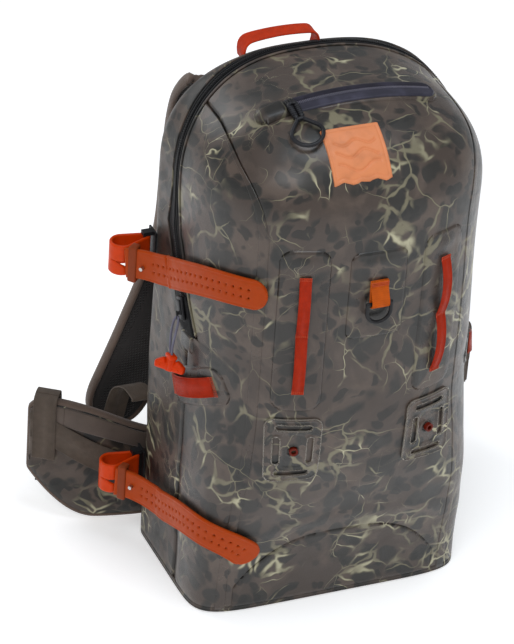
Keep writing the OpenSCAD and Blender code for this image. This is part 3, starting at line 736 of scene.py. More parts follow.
def webbing(name, colour, rough=0.5, sheen=0.1, rib_mm=1.5, spec=0.3):
    """Flat woven tape: ribs across it, chevron threads. Uses the run of the tape."""
    k = Look(name)
    uv = k.node("SeparateXYZ", Vector=k.coord.outputs["UV"])
    u, v = uv.outputs[0], uv.outputs[1]
    slant = k.math("PINGPONG", v, 0.0016)
    leaning = k.math("ADD", u, k.times(slant, 0.8))
    rib = k.math("SINE", k.times(leaning, 2 * math.pi / (rib_mm * MM)))
    thread = k.math("SINE", k.times(v, 2 * math.pi / 0.0011))
    height = k.math("ADD", k.times(rib, 0.6), k.times(thread, 0.4))
    # painted shade and highlight: the colour follows the rib and thread relief, darker in the grooves
    tone = k.times(k.span(height, -1, 1, 0.80, 1.10, soft=False),
                  k.vary(140, 3, 0.86, 1.12))
    shade = k.node("HueSaturation", Value=tone, Color=colour).outputs[0]
    normal = k.bump(height, 0.00022, 0.7)
    return k.finish(shade, k.vary(90, 2, rough - 0.08, rough + 0.08), normal,
                    Sheen_Weight=sheen, Specular_IOR_Level=spec)


def rubber(name, colour, rim, rough=0.36, clear=0.06):
    """Translucent moulded rubber; its colour turns brighter and warmer where the surface is seen edge on, a
    painted glow of light through the rubber.
    """
    k = Look(name)
    edge = k.node("LayerWeight", Blend=0.3).outputs["Facing"]
    # painted glow: the brighter rim colour is mixed in by facing angle, light through the rubber painted into
    # its colour
    tone = k.mix(colour, rim, k.math("POWER", edge, 3.0))
    dust = k.span(k.noise(160, 4), 0.45, 0.75)
    tone = k.mix(tone, srgb(104, 48, 20), k.times(dust, 0.14))
    normal = k.bump(k.noise(420, 3), 0.00025, 0.25)
    return k.finish(tone, k.vary(120, 3, rough - 0.08, rough + 0.14), normal,
                    Transmission_Weight=clear, Subsurface_Weight=0.1, Subsurface_Scale=1.0,
                    Subsurface_Radius=(0.004, 0.001, 0.0004), Specular_IOR_Level=0.14)


def plastic(name, colour, rough=0.42, grain=0.00006, metal=0.0, spec=0.3):
    """Moulded plastic with fine spark texture and scuffs."""
    k = Look(name)
    scuff = k.span(k.noise(70, 5, rough=0.65), 0.5, 0.72)
    worn = tuple(min(1, c * 2.2 + 0.02) for c in colour[:3]) + (1,)
    tone = k.mix(colour, worn, k.times(scuff, 0.25))
    normal = k.bump(k.noise(1500, 2), grain, 0.6)
    normal = k.bump(k.noise(130, 2), 0.0003, 0.2, normal)
    return k.finish(tone, k.math("ADD", k.times(scuff, 0.14), rough), normal, Metallic=metal,
                    Specular_IOR_Level=spec)


def coated_tape(name, colour, rough=0.4):
    """Rubberised zip tape: smooth, with a faint cross rib and a dusty tone."""
    k = Look(name)
    uv = k.node("SeparateXYZ", Vector=k.coord.outputs["UV"])
    rib = k.math("SINE", k.times(uv.outputs[0], 2 * math.pi / 0.0012))
    tone = k.mix(colour, dim(colour, 1.9), k.span(k.noise(55, 4), 0.42, 0.74))
    normal = k.bump(rib, 0.0001, 0.35)
    normal = k.bump(k.noise(90, 3), 0.0005, 0.3, normal)
    return k.finish(tone, k.vary(110, 3, rough - 0.06, rough + 0.14), normal,
                    Specular_IOR_Level=0.2)


def spacer_mesh(name, colour):
    """Open knitted mesh over foam: round cells with painted shade inside them, matt."""
    k = Look(name)
    holes = k.span(k.cells(330, feature="F1", jitter=0.15), 0.16, 0.42)
    # painted shade: the open cells, low in the bump, are darkened to 0.3 of the colour
    tone = k.mix(dim(colour, 0.3), colour, holes)
    tone = k.mix(tone, dim(colour, 1.8), k.span(k.noise(30, 3), 0.45, 0.8, 0, 0.4))
    normal = k.bump(holes, 0.0007, 0.8)
    return k.finish(tone, 0.85, normal, Sheen_Weight=0.25, Specular_IOR_Level=0.2)


def clear_mould(name):
    """Clear flexible moulding: the print shows through; its pale tone, turning near white where the surface
    is seen edge on, is painted highlight on its edges.
    """
    k = Look(name)
    edge = k.node("LayerWeight", Blend=0.45).outputs["Facing"]
    # painted highlight: a pale colour rising to near white at grazing angles stands in for reflections on the
    # clear rims
    tone = k.mix(srgb(132, 122, 110), srgb(206, 200, 188), k.math("POWER", edge, 1.6))
    normal = k.bump(k.noise(110, 3), 0.0006, 0.3)
    mat = k.finish(tone, 0.2, normal, Coat_Weight=0.6, Coat_Roughness=0.12,
                   Alpha=k.span(edge, 0.0, 0.8, 0.45, 0.9, soft=False))
    return mat


def brushed(name, colour):
    k = Look(name)
    lines = k.noise(60, 3, k.place((4, 4, 60)))
    normal = k.bump(lines, 0.0001, 0.5)
    return k.finish(k.mix(colour, dim(colour, 0.6), lines), 0.3, normal, Metallic=1.0)


def moulded_patch(name, colour):
    """Matt printed rubber with a fine leather grain."""
    k = Look(name)
    tone = k.mix(colour, dim(colour, 0.82), k.span(k.noise(70, 4), 0.4, 0.75))
    normal = k.bump(k.cells(900, jitter=1.0), 0.00012, 0.5)
    return k.finish(tone, k.vary(90, 3, 0.46, 0.62), normal)


CAMO = coated_camo("camo_coated")
CAMO_REAR = coated_camo("camo_rear", 0.95, 0.44, 0.2)
CAMO_PATCH = coated_camo("camo_patch", 0.97, 0.3, 0.5)
CAMO_WING = coated_camo("camo_wing", 0.8, 0.5, 0.1)
GARAGE = coated_camo("camo_garage", 0.5, 0.42, 0.3)
BOOT = coated_camo("camo_boot", 0.86, 0.36, 0.3)
TAPE = coated_tape("zip_tape_rubber", srgb(6, 6, 7), 0.58)
TAPE_GREY = coated_tape("pocket_tape", srgb(48, 47, 58), 0.34)
TEETH = plastic("zip_teeth_plastic", srgb(20, 20, 22), 0.4)
TEETH_GREY = plastic("pocket_teeth_plastic", srgb(92, 90, 102), 0.32)
PIPING = plastic("zip_piping", srgb(20, 20, 22), 0.46)
TAPE_DARK = coated_tape("pocket_tape_dark", srgb(33, 31, 41), 0.34)
CORD_GREY = plastic("grey_cord", srgb(96, 94, 110), 0.45, 0.00012)
PLATE = coated_camo("camo_plate", 1.12, 0.2, 0.7)
BLACK = plastic("black_moulded", srgb(24, 24, 26))
CORD = plastic("rubber_cord", srgb(26, 26, 30), 0.38, 0.00012)
# The second colour of each rubber is its painted edge glow, shown where the surface is seen edge on.
ORANGE_RUBBER = rubber("orange_rubber", srgb(208, 62, 2), srgb(226, 88, 8))
RED_RUBBER = rubber("red_rubber", srgb(100, 24, 8), srgb(130, 36, 14))
HANDLE_RUBBER = rubber("handle_rubber", srgb(208, 54, 2), srgb(226, 78, 10), 0.42, 0.0)
RED_WEB = webbing("red_webbing", srgb(166, 38, 3), 0.4, 0.0, spec=0.14)
ORANGE_WEB = webbing("orange_webbing", srgb(192, 84, 10), 0.55, 0.0, rib_mm=2.2, spec=0.14)
BROWN_WEB = webbing("brown_webbing", srgb(84, 72, 62), 0.7)
THREAD = plain_weave("orange_thread", srgb(196, 70, 30), 0.6)
DARK_THREAD = plain_weave("dark_thread", srgb(40, 36, 34), 0.7)
BINDING = plain_weave("brown_binding", srgb(92, 76, 66), 0.7, 900)
BROWN_CLOTH = plain_weave("brown_cloth", srgb(88, 75, 66), 0.72)
LINING = plain_weave("lining_cloth", srgb(90, 92, 100), 0.6, 1000)
MESH = spacer_mesh("black_spacer_mesh", srgb(46, 43, 42))
CLEAR = clear_mould("clear_mould")
STEEL = brushed("brushed_steel", (0.62, 0.61, 0.6, 1))
STIFFENER = plastic("white_sheet", srgb(214, 214, 208), 0.5)
# The emblem's orange is paled: partly its own colour, partly a painted glare from the light above the dome.
EMBLEM = moulded_patch("orange_patch", srgb(218, 132, 82))
TIP_CLOTH = plain_weave("tip_cloth", srgb(84, 72, 64), 0.62, 1400, 0.00006)
HANDLE_WEB = webbing("handle_webbing", srgb(188, 48, 4), 0.5, 0.0, spec=0.14)
KEEPER_RUBBER = rubber("keeper_rubber", srgb(132, 56, 24), srgb(160, 74, 34), 0.42, 0.0)
TAIL_RUBBER = rubber("tail_rubber", srgb(166, 60, 2), srgb(206, 84, 8), 0.4, 0.0)


SLOTS = {
    "coated_fabric": (CAMO, CAMO_REAR, CAMO_PATCH, CAMO_WING, GARAGE),
    "base_fabric": (BOOT,),
    "harness_fabric": (BINDING, BROWN_CLOTH, TIP_CLOTH),
    "spacer_mesh": (MESH,),
    "brown_webbing": (BROWN_WEB,),
    "red_webbing": (RED_WEB, ORANGE_WEB, HANDLE_WEB),
    "orange_rubber": (ORANGE_RUBBER, HANDLE_RUBBER, KEEPER_RUBBER, TAIL_RUBBER),
    "emblem": (EMBLEM,),
    "clear_mould": (PLATE, CLEAR),
    "black_plastic": (BLACK,),
    "black_cord": (CORD, CORD_GREY),
    "zip_tape": (TAPE, TAPE_GREY),
    "zip_teeth": (TEETH, TEETH_GREY, PIPING),
}
SLOT_OF = {look.name: slot for slot, looks in SLOTS.items() for look in looks}


# ---------------------------------------------------------------- bag panels
def rows_to(top, n):
    return np.linspace(3.4 / SHOULDER, top, n)


def front_panel():
    a = np.linspace(-1, 1, 100)[None, :]
    low = rows_to(1, 120)[:, None]
    wide = at(1, low, seam_wrap(low))[..., 0] - 0.2
    lower = front_at(a * wide, low * SHOULDER + 0 * a)
    tilt = np.linspace(2, 90, 48)[:, None]
    x = a * seam_x(tilt)
    dome = dome_at(x, tilt + 0 * a)
    v = station_of(x[-1:])
    back = zip_y(v) - zip_half(v) - 0.6
    share = np.linspace(0.06, 1, 24)[:, None]
    crest = np.stack([x[-1:] + 0 * share, lerp(MID_Y, back, share), dome[-1:, :, 2] + 0 * share], -1)
    panel("front_panel_cloth", np.concatenate([lower, dome, crest]), CAMO, "pack", replaces=["front_panel"])


def seam_line(r):
    """Station and wrap of the seam between the front and a side: r 0 base, 1 shoulder, 2 crest."""
    tilt = np.maximum(r - 1, 0) * 90
    v = np.where(r <= 1, r, seam_station(tilt))
    y = dome_at(seam_x(tilt) + 0.4, tilt)[..., 1]
    return v, np.where(r <= 1, seam_wrap(v) - 0.003, wrap_of(v, y))


def side_panel(word, s):
    foot = ZIP_END / SHOULDER
    above = np.linspace(foot + 0.0004, 1, 36), np.linspace(1.03, 2, 40)
    r = np.concatenate([rows_to(foot, 80), *above])[:, None]
    v, seam = seam_line(r)
    rear = wrap_of(v, zip_y(v) - opening(v) - 0.4)
    u = np.linspace(0, 1, 56)[None, :]
    panel("side_panel_" + word + "_cloth", at(s, v + 0 * u, lerp(rear, seam - 0.002, u)), CAMO, "pack",
          replaces=["side_panel_" + word])


def arch(v0, low, high):
    """Sides and stations along the whole arch, from one side over the top to the other."""
    up = np.concatenate([np.linspace(v0, 1, low), np.linspace(1, 2, high)[1:]])
    down = up[::-1][1:]
    return np.concatenate([-np.ones(len(up)), np.ones(len(down))]), np.concatenate([up, down])


def rear_gusset():
    s, v = arch(3.4 / SHOULDER, 120, 60)
    s, v = s[:, None], v[:, None]
    w = np.linspace(0, 1, 40)[None, :]
    q = lerp(zip_y(v) + opening(v), REAR_Y + REAR_R * math.pi / 2, w)
    panel("rear_gusset_cloth", at(s, v + 0 * w, wrap_of(v, q)), CAMO_REAR, "pack", replaces=["rear_gusset"])


def seam_laps():
    """Welded tape over each front seam: a low flat lap with a firm edge."""
    r = np.concatenate([rows_to(1, 110), np.linspace(1.03, 1.94, 36)])[:, None]
    v, c = seam_line(r)
    for word, s in SIDES:
        reach = np.linalg.norm(at(s, v, c + 0.01) - at(s, v, c - 0.01), axis=-1) / 0.02
        d = np.linspace(-7.5, 3.5, 14)[None, :]
        p = at(s, v + 0 * d, c + d / reach)
        n = grid_normals(p, core_of(p))
        lift = 0.55 * np.sqrt(np.clip(1 - (abs(d + 2) / 5.5) ** 8, 0, 1))
        top = p + n * (undulate(p) + lift)[..., None]
        verts, faces = slab(top, p + n * (undulate(p) - 0.6)[..., None])
        outward(make("seam_lap_" + word, verts, faces, CAMO_PATCH, "pack"))


def back_outline(margin):
    k = 1 - (REAR_R + margin) / HALF
    v = np.linspace(1, 2, 40)
    p = at(1, v, -0.1)
    x = np.concatenate([[HALF * k], p[:, 0] * k])
    z = np.concatenate([[3.4], SHOULDER + (p[:, 2] - SHOULDER) * k])
    return np.concatenate([x, -x[::-1][1:]]), np.concatenate([z, z[::-1][1:]])


def back_panel():
    def width_at(z):
        over = np.clip((z - SHOULDER) / ((HEIGHT - SHOULDER) * (1 - (REAR_R + 1) / HALF)), 0, 1)
        return HALF * (1 - (REAR_R + 1) / HALF) * power(1 - over ** ROUND_EXPO, 1 / ROUND_EXPO)
    z = np.concatenate([np.linspace(3.4, 440, 80), np.linspace(444, 543, 40)])[:, None]
    a = np.sin(np.linspace(-1, 1, 70) * np.pi / 2)[None, :]
    x = a * np.maximum(width_at(z), 2)
    swell = 1.1 * np.sin(x / 37 + 0.5) * np.sin(z / 61) + 0.5 * np.sin(z / 23 + x / 50)
    fall = np.minimum(1 - abs(a), 0.12) / 0.12
    y = BACK - 0.3 + (swell * fall - 0.6)
    p = np.stack([x, y + 0 * x, z + 0 * x], -1)
    verts, faces = slab(p, p - np.array([0, 1.8, 0]))
    outward(make("back_panel_cloth", verts, faces, BROWN_CLOTH, "pack", replaces=["back_panel"]))
    x, z = back_outline(-1.5)
    path = even(np.stack([x, np.full(len(x), BACK - 1.2), z], 1), 4)
    tube("back_piping", path, 2.0, BINDING, "pack")


def base_outline(grow=0.0):
    c = np.linspace(0, 1, 60)
    front = at(1, 0, c)[:, :2]
    a = np.linspace(0, np.pi / 2, 12)
    rear = np.stack([HALF - REAR_R + REAR_R * np.cos(a), REAR_Y + REAR_R * np.sin(a)], 1)
    right = np.concatenate([front[::-1], rear])
    ring = np.concatenate([right, (right * [-1, 1])[::-1]])
    keep = np.concatenate([[True], np.linalg.norm(np.diff(ring, axis=0), axis=1) > 0.3])
    return ring[keep] * (1 + grow / HALF)


def base_panel():
    ring = even(np.pad(base_outline(-0.6), ((0, 0), (0, 1))), 5, closed=True)[:, :2]
    n = len(ring)
    levels = [(s, 0.0) for s in np.linspace(0.05, 0.975, 14)]
    levels += [(0.99, 0.35), (1.0, 1.2), (1.0, 2.2), (0.99, 2.9)]
    levels += [(s, 3.0) for s in (0.97, 0.6, 0.05)]
    sag = [0.25 * math.sin(9 * s) ** 2 if z == 0 and s < 0.9 else 0 for s, z in levels]
    verts = [(x * s, y * s, z + g) for (s, z), g in zip(levels, sag) for x, y in ring]
    faces = [(i * n + j, i * n + (j + 1) % n, (i + 1) * n + (j + 1) % n, (i + 1) * n + j)
             for i in range(len(levels) - 1) for j in range(n)]
    faces += [tuple(range(n))[::-1], tuple((len(levels) - 1) * n + j for j in range(n))]
    outward(make("base_panel_cloth", verts, faces, BOOT, "pack", replaces=["base_panel"]))
    hem = np.pad(ring * 1.0, ((0, 0), (0, 1)), constant_values=4.6)
    sweep("base_hem", hem, [0, 0, 1.0], band_profile(7, 1.3), BOOT, "pack", closed=True)


def boot_patch():
    half = corners("base_front_patch")[1][0]

    def sdf(x, z):
        high = 30 + 62 * (1 - (abs(x) / (half + 1)) ** 3)
        steep = np.hypot(1, 186 * abs(x) ** 2 / half ** 3)
        return np.maximum.reduce([6 - z, (z - high) / steep, abs(x) - half])
    plate("base_front_patch_cloth", sdf, (-half, half, 6, 92), 2.4, rounded_top(1.5, 2.4), ON_FRONT,
          BOOT, "pack", replaces=["base_front_patch"], slot="coated_fabric")


# ---------------------------------------------------------------- main zip
def zip_place(s, v, off, h):
    """Point over the main zip: station v, off millimetres across it, h above the fabric."""
    p = at(s, v, wrap_of(v, zip_y(v) + off))
    a = at(s, v, wrap_of(v, zip_y(v) + off - 0.5))
    b = at(s, v, wrap_of(v, zip_y(v) + off + 0.5))
    under, over = v - 0.001, np.minimum(v + 0.001, 2)
    c = at(s, under, wrap_of(under, zip_y(under) + off))
    d = at(s, v + 0.001, wrap_of(over, zip_y(over) + off))
    n = unit(np.cross(b - a, d - c))
    n = face_away(n, p, core_of(p))
    return p + n * (undulate(p) + h)[..., None], n


ZIP_START = ZIP_END + 4


def zip_strip(name, off0, off1, h, thick, look, low, high, start=ZIP_START, **kw):
    s, v = arch(start / SHOULDER, low, high)
    s, v = s[:, None], v[:, None]
    t = np.linspace(0, 1, 7)[None, :]
    half = zip_half(v)
    off = lerp(off0(half), off1(half), t)
    crown = h + 0.35 * thick * np.sqrt(np.clip(1 - (2 * t - 1) ** 4, 0, 1))
    top, _ = zip_place(s, v + 0 * t, off, crown + 0 * v)
    low_side, _ = zip_place(s, v + 0 * t, off, h - thick + 0 * v + 0 * t)
    verts, faces = slab(top, low_side)
    run = np.linspace(0, 1000, len(v))[:, None] + 0 * t
    uv = np.tile(np.stack([run, off + 0 * run], -1).reshape(-1, 2), (2, 1))
    return outward(make(name, verts, faces, look, "pack", uv=uv, **kw))


def main_zip():
    zip_strip("main_zip_tape_rubber", lambda h: -h + 0.2, lambda h: h - 0.2, -0.5, 1.2, TAPE, 60, 50,
              replaces=["main_zip_tape"])
    for word, sign in (("front", -1), ("rear", 1)):
        zip_strip("main_zip_lip_" + word, lambda h: sign * h * 0.97 - 1.3, lambda h: sign * h * 0.97 + 1.3,
                  0.5, 1.8, CAMO_REAR, 60, 50)
        zip_strip("main_zip_cord_line_" + word, lambda h: sign * 4.6 - 0.6, lambda h: sign * 4.6 + 0.6,
                  0.3, 1.2, PIPING, 60, 50)
    s, v = arch((ZIP_END + 10) / SHOULDER, 90, 70)
    path, n = zip_place(s, v, 0 * v, 0.4 + 0 * v)
    stitches("main_zip_teeth", [(path, n)], TEETH, "pack", pitch=2.3, length=5.6, r=0.95, across=True,
             replaces=["main_zip_coil"])
    for word, s in SIDES:
        def foot(a, z, h, s=s):
            return zip_place(s, z / SHOULDER, a, h)[0]
        plate("zip_foot_" + word, round_rect(15, 19, 4, 0, ZIP_END + 18),
              (-15, 15, ZIP_END - 1, ZIP_END + 37), 1.6, rounded_top(1.4, 2), foot, TAPE, "pack")
        plate("zip_end_stop_" + word, round_rect(12, 10, 4, 0, ZIP_END - 11),
              (-12, 12, ZIP_END - 22, ZIP_END), 1.5, rounded_top(1.5, 2.2), foot, CAMO_PATCH, "pack",
              replaces=once("zip_end_stops", s), slot="black_plastic")


def zip_frame():
    """Matrix at the slider: Z along the zip, X out of the bag."""
    axis = Vector(joint("main_zip_slide")["axis"]).normalized()
    eye = pivot("main_pull_swing")
    lean = math.degrees(math.atan2(axis.y, axis.z))
    base = Matrix.Translation(Vector(eye)) @ turn(-lean, "X") @ Matrix.Scale(-1, 4, (1, 0, 0))
    return base @ to(-6, 0, 8)


def main_slider():
    m = zip_frame()
    body = Solid()
    body.block((3.0, 13, 24), m @ to(1.5, 0, 0), 1.2)
    body.block((2.0, 8.5, 15), m @ to(3.4, 0, 1), 0.9)
    body.block((3.6, 2.2, 3.6), m @ to(4.2, 0, -4.6), 0.8)
    body.block((1.8, 2.2, 9.5), m @ to(6.6, 0, -6.8), 0.8)
    body.block((3.0, 2.2, 1.8), m @ to(5.2, 0, -11), 0.7)
    body.done("main_zip_slider_body", BLACK, "main_zip_runner", replaces=["main_zip_slider"])


def zip_pull():
    eye = pivot("main_pull_swing")
    low, high = corners("main_zip_handle")
    middle = np.array([(low[0] + high[0]) / 2, (low[1] + high[1]) / 2, low[2] + 4.5])
    hang = unit(middle - eye)
    drop = np.linalg.norm(middle - eye)
    side = np.array([0, 1.0, 0])
    bow = np.array([-1.0, 0, 0])

    def pt(y, d, b=0.0):
        return eye + side * y + hang * d + bow * b
    legs = [pt(2.2, drop - 8), pt(3.4, drop * 0.62, 1.5), pt(4.0, drop * 0.34, 2.4), pt(2.8, 5, 2.0),
            pt(0, -0.6, 0), pt(-2.6, 5, -0.4), pt(-3.4, drop * 0.34, 1.2), pt(-2.6, drop * 0.62, 1.8),
            pt(-2.2, drop - 8)]
    path = even(spline(legs, np.linspace(0, 1, 120)), 1.6)
    tube("main_zip_cord_loop", path, 1.25, CORD_GREY, "main_zip_pull", replaces=["main_zip_cord"])

    centre = Vector(eye + hang * drop)
    up = -hang
    fore = unit(side - up * (side @ up))
    axes = np.stack([np.cross(fore, up), fore, up], 1)
    m = Matrix([(*row, c) for row, c in zip(axes, centre)] + [(0, 0, 0, 1)])
    handle = Solid()
    handle.block((7.4, 11, 17), m @ to(0, 0, 4.5), 1.6)
    handle.block((8.6, 13.2, 4.5), m @ to(0, 0, 10.5), 1.6)
    handle.block((7.6, 33, 8.4), m @ turn(40, "Z") @ to(0, 0, -0.5), 2.6, 4)
    handle.block((8.8, 9, 9.4), m @ turn(40, "Z") @ to(0, 0, -0.4), 2.4)
    handle.block((7.0, 9, 8.2), m @ turn(40, "Z") @ to(0, -9, 2.4) @ turn(28, "X"), 2.2)
    handle.block((7.0, 9, 8.2), m @ turn(40, "Z") @ to(0, 9, 2.4) @ turn(-28, "X"), 2.2)
    for y in (-10.5, 10.5):
        handle.rod(1.1, 8.6, m @ turn(40, "Z") @ to(0, y, -1) @ turn(90, "Y"), 16, 0.3)
    handle.done("main_zip_t_handle", HANDLE_RUBBER, "main_zip_pull", replaces=["main_zip_handle"])


# ---------------------------------------------------------------- bands laid on the bag
def laid_band(name, point, run, width, thick, look, body, **kw):
    """Webbing with its middle through point(t, 0); point's second argument runs across it."""
    path = point(run, 0 * run)
    across = point(run, 0 * run + 1) - point(run, 0 * run - 1)
    return sweep(name, path, across, band_profile(width, thick), look, body, **kw)


def tack(name, centre, along_dir, across_dir, normal, width, look, body, rows=5, depth_mm=5.0):
    """Bar tack: rows of close stitches across a band."""
    half = across_dir * width / 2
    mids = [centre + along_dir * d for d in np.linspace(-depth_mm / 2, depth_mm / 2, rows)]
    lines = [(np.stack([mid - half, mid + half]), np.stack([normal, normal])) for mid in mids]
    stitches(name, lines, look, body, pitch=1.9, length=1.7, r=0.4, rise=0.2)


def dock_place(s):
    def f(u, h):
        z = DOCK_Z + h + 0.52 * u
        v = z / SHOULDER
        return at(s, v, wrap_of(v, DOCK_Y - u + h * 0.52))
    return f


DOCK_Z, DOCK_Y = 250.0, -32.0


def docks():
    for word, s in SIDES:
        place = lay_on(dock_place(s))
        sdf = round_rect(42, 18, 13, 6, 0)
        plate("dock_patch_" + word, sdf, (-36, 48, -18, 18), 1.7,
              lambda x, y, d: 0.9 + 0.9 * smooth(1 - abs(d - 1.3) / 1.3) - 0.9 * (d < 0.01),
              place, CAMO_PATCH, "pack",
              replaces=once("dock_patches", s))

        def loop(u, h, place=place):
            lift = 1.9 + 6.6 * np.sin(np.pi * np.clip((u + 30) / 62, 0, 1)) ** 0.8
            return place(u, h, lift)
        u = np.linspace(-31, 33, 60)
        laid_band("dock_loop_" + word, loop, u, 21, 1.7, RED_WEB, "pack",
                  replaces=once("dock_loops", s))
        for end, u0 in (("front", 34.5), ("rear", -32.5)):
            c = place(np.array([u0]), np.array([0.0]), np.array([1.9]))[0]
            e = place(np.array([u0 + 1]), np.array([0.0]), np.array([1.9]))[0]
            h = place(np.array([u0]), np.array([1.0]), np.array([1.9]))[0]
            a, b = unit(e - c), unit(h - c)
            n = np.cross(a, b) * (1 if np.cross(a, b)[0] * s > 0 else -1)
            tack(f"dock_tack_{end}_{word}", c, a, b, n, 20, THREAD, "pack", rows=4, depth_mm=5)


# ---------------------------------------------------------------- chest pocket
POCKET_R, POCKET_DIP, POCKET_MID, POCKET_TILT = 330.0, 9.0, 4.0, 69.0
POCKET_X0, POCKET_X1 = -67.0, 92.0
CREST = dome_at(np.array(POCKET_MID), np.array(POCKET_TILT))


def pocket_place(a, b, h):
    t = (a - POCKET_MID) / POCKET_R
    x, z = (POCKET_R + h) * np.sin(t), (POCKET_R + h) * np.cos(t) - POCKET_R
    c, s = math.cos(math.radians(POCKET_DIP)), math.sin(math.radians(POCKET_DIP))
    return np.stack([CREST[0] + x, CREST[1] + b * c - z * s, CREST[2] + b * s + z * c], -1)


def pocket_frame(x):
    t = math.degrees(math.asin((x - POCKET_MID) / POCKET_R))
    return (Matrix.Translation(Vector(CREST)) @ turn(POCKET_DIP, "X") @ to(0, 0, -POCKET_R) @ turn(t, "Y")
            @ to(0, 0, POCKET_R))


def pocket_zip():
    mid, half = (POCKET_X0 + POCKET_X1) / 2, (POCKET_X1 - POCKET_X0) / 2
    full = mid - 14.5, half + 14.5
    plate("pocket_zip_weld", round_rect(full[1] + 3.2, 14.6, 14, full[0], 0),
          (full[0] - full[1] - 4, full[0] + full[1] + 4, -15, 15), 1.8, rounded_top(1.8, 2.5),
          pocket_place, CAMO_PATCH, "pack", base=-5)

    def tape(x, y):
        edge = round_rect(half + 6, 11.4, 11, mid - 6, 0)(x, y)
        return np.maximum(edge, POCKET_X0 - x)
    plate("pocket_zip_band", tape, (POCKET_X0, POCKET_X1, -11.6, 11.6), 1.4,
          lambda x, y, d: 2.4 + 1.2 * arc(d, 1.6)
          - 0.7 * bell(y, 1.6, 2.2) * (x < POCKET_X1 - 5),
          pocket_place, [TAPE_GREY, TAPE_DARK], "pack", base=0.5, marker=lambda x, y: y > 1.6,
          replaces=["pocket_zip_tape"])
    x = np.linspace(POCKET_X0 + 3, POCKET_X1 - 6, 120)
    path = pocket_place(x, 0 * x + 1.6, 0 * x + 3.3)
    up = pocket_place(x, 0 * x, 0 * x + 1) - pocket_place(x, 0 * x, 0 * x)
    stitches("pocket_zip_teeth", [(path, up)], TEETH_GREY, "pack", pitch=1.7, length=4.2, r=0.62, rise=0.1,
             across=True, replaces=["pocket_zip_coil"])
    plate("pocket_garage", round_rect(20, 12.2, 11.4, POCKET_X0 - 10.5, 0),
          (POCKET_X0 - 31, POCKET_X0 + 10, -12.4, 12.4), 1.4,
          lambda x, y, d: 2.6 + 6.4 * arc(d, 10)
          * (1 - 0.6 * smooth((x - POCKET_X0 + 4) / 10)),
          pocket_place, GARAGE, "pack", base=0.5, replaces=["pocket_zip_garage"])


def pocket_pull():
    m = pocket_frame(POCKET_X0 + 7) @ to(0, 0, 5.2)
    body = Solid()
    body.block((9.6, 12, 2.6), m @ to(0, 0, 0.9), 1.0)
    body.block((6.4, 9, 1.8), m @ to(0, 0.5, 2.6), 0.8)
    body.block((2.6, 2.2, 3.4), m @ to(0, 1.6, 3.8), 0.7)
    body.block((2.6, 7.5, 1.7), m @ to(0, -1.4, 6.0), 0.7)
    body.block((2.6, 1.7, 2.8), m @ to(0, -4.6, 4.8), 0.6)
    body.done("pocket_zip_slider_body", BLACK, "pocket_zip_runner", replaces=["pocket_zip_slider"])
    m = pocket_frame(POCKET_X0 + 7) @ to(0, -2.5, 10.2) @ turn(9, "X")
    leg = [(3.6, -2.5), (3.9, -8), (3.4, -16), (2.8, -22), (8.5, -29), (14.6, -37), (15.3, -44)]
    bottom = [(-11, -52), (-3.5, -56.4), (4, -56.2), (11.3, -51.6)]
    pts = [(0, -0.8)] + [(-x, y) for x, y in leg] + bottom + leg[::-1]
    dense = spline([(x, y, 0) for x, y in pts + pts[:1]], np.linspace(0, 1, 240)[:-1])
    world = np.array([m @ Vector(q) for q in dense])
    path = even(world, 1.8, closed=True)
    tube("pocket_pull_loop", path, 2.1, CORD, "pocket_pull", closed=True, replaces=["pocket_zip_pull"])
    grip = Solid()
    for x in (-1, 1):
        grip.block((4.6, 17, 4.6), m @ to(x * 3.1, -13, 0) @ turn(x * -2, "Z"), 1.8)
        for k in range(6):
            grip.block((5.2, 1.3, 5.2), m @ to(x * 3.1, -6.6 - 2.5 * k, 0), 0.55, 2)
    grip.block((8.5, 3.6, 5.2), m @ to(0, -22.4, 0), 1.5)
    grip.done("pocket_pull_grip", CORD, "pocket_pull")


# ---------------------------------------------------------------- front fittings
def emblem():
    low, high = corners("emblem_patch")
    cx, hw = (low[0] + high[0]) / 2, (high[0] - low[0]) / 2
    hh = 29.0

    def f(a, b):
        return dome_at(a, 37 + b / 2.22)

    def top(x, y, d):
        height = 1.3 * arc(d, 1.2)
        height = height - 0.7 * bell(d, 3.6, 0.6)
        for y0, swing, run in ((-11, 4.0, 12.0), (1, 3.2, 10.0), (12, 2.6, 8.4)):
            wave = y0 + swing * np.sin((x - cx) / run * 2 + y0 / 9)
            reach = smooth((hw - 7 - abs(x - cx)) / 2.5)
            height = height - 1.2 * reach * np.exp(-((y - wave) / 1.25) ** 4)
        return height
    square = round_rect(hw, hh, 1.6, cx, 0)

    def outline(x, y):
        def peaks(run, shift):
            return abs(np.mod((x - cx) / run + shift, 1) - 0.5)
        hills = 2.2 + 4.2 * peaks(17, 0.15) + 3.4 * peaks(31, 0.7)
        return np.maximum(square(x, y), (hills - hh - y) * 0.9)
    plate("emblem_patch_rubber", outline, (cx - hw, cx + hw, -hh, hh), 0.8, top, lay_on(f),
          EMBLEM, "pack", replaces=["emblem_patch"])


LASH_X, LASH_LOW, LASH_TOP = 73, 286.0, 415.0


def lash_panels():
    def puff(t, r, hump):
        return lambda x, y, d: t * arc(d, r) + hump(x, y) * smooth(d / 9)
    for word, s in SIDES:
        def hump(x, z, s=s):
            pads = 1.9 * np.exp(-((z - 431) / 8.5) ** 2 - ((x - s * LASH_X) / 13) ** 2)
            gutter = 0.35 * bell(abs(x - s * LASH_X), 17, 1.6)
            return pads + gutter
        plate("lash_panel_" + word, round_rect(24, 92, 14, s * LASH_X, 354),
              (s * LASH_X - 24, s * LASH_X + 24, 262, 446), 2.0, puff(1.7, 2.6, hump), ON_FRONT,
              CAMO_PATCH, "pack",
              replaces=once("lash_panels", s))
    plate("lash_panel_centre", round_rect(30, 50, 10, 0, 390), (-30, 30, 340, 440), 2.0,
          puff(1.7, 2.6, lambda x, z: 1.6 * np.exp(-((z - 427) / 7) ** 2 - (x / 18) ** 2)), ON_FRONT,
          CAMO_PATCH, "pack")


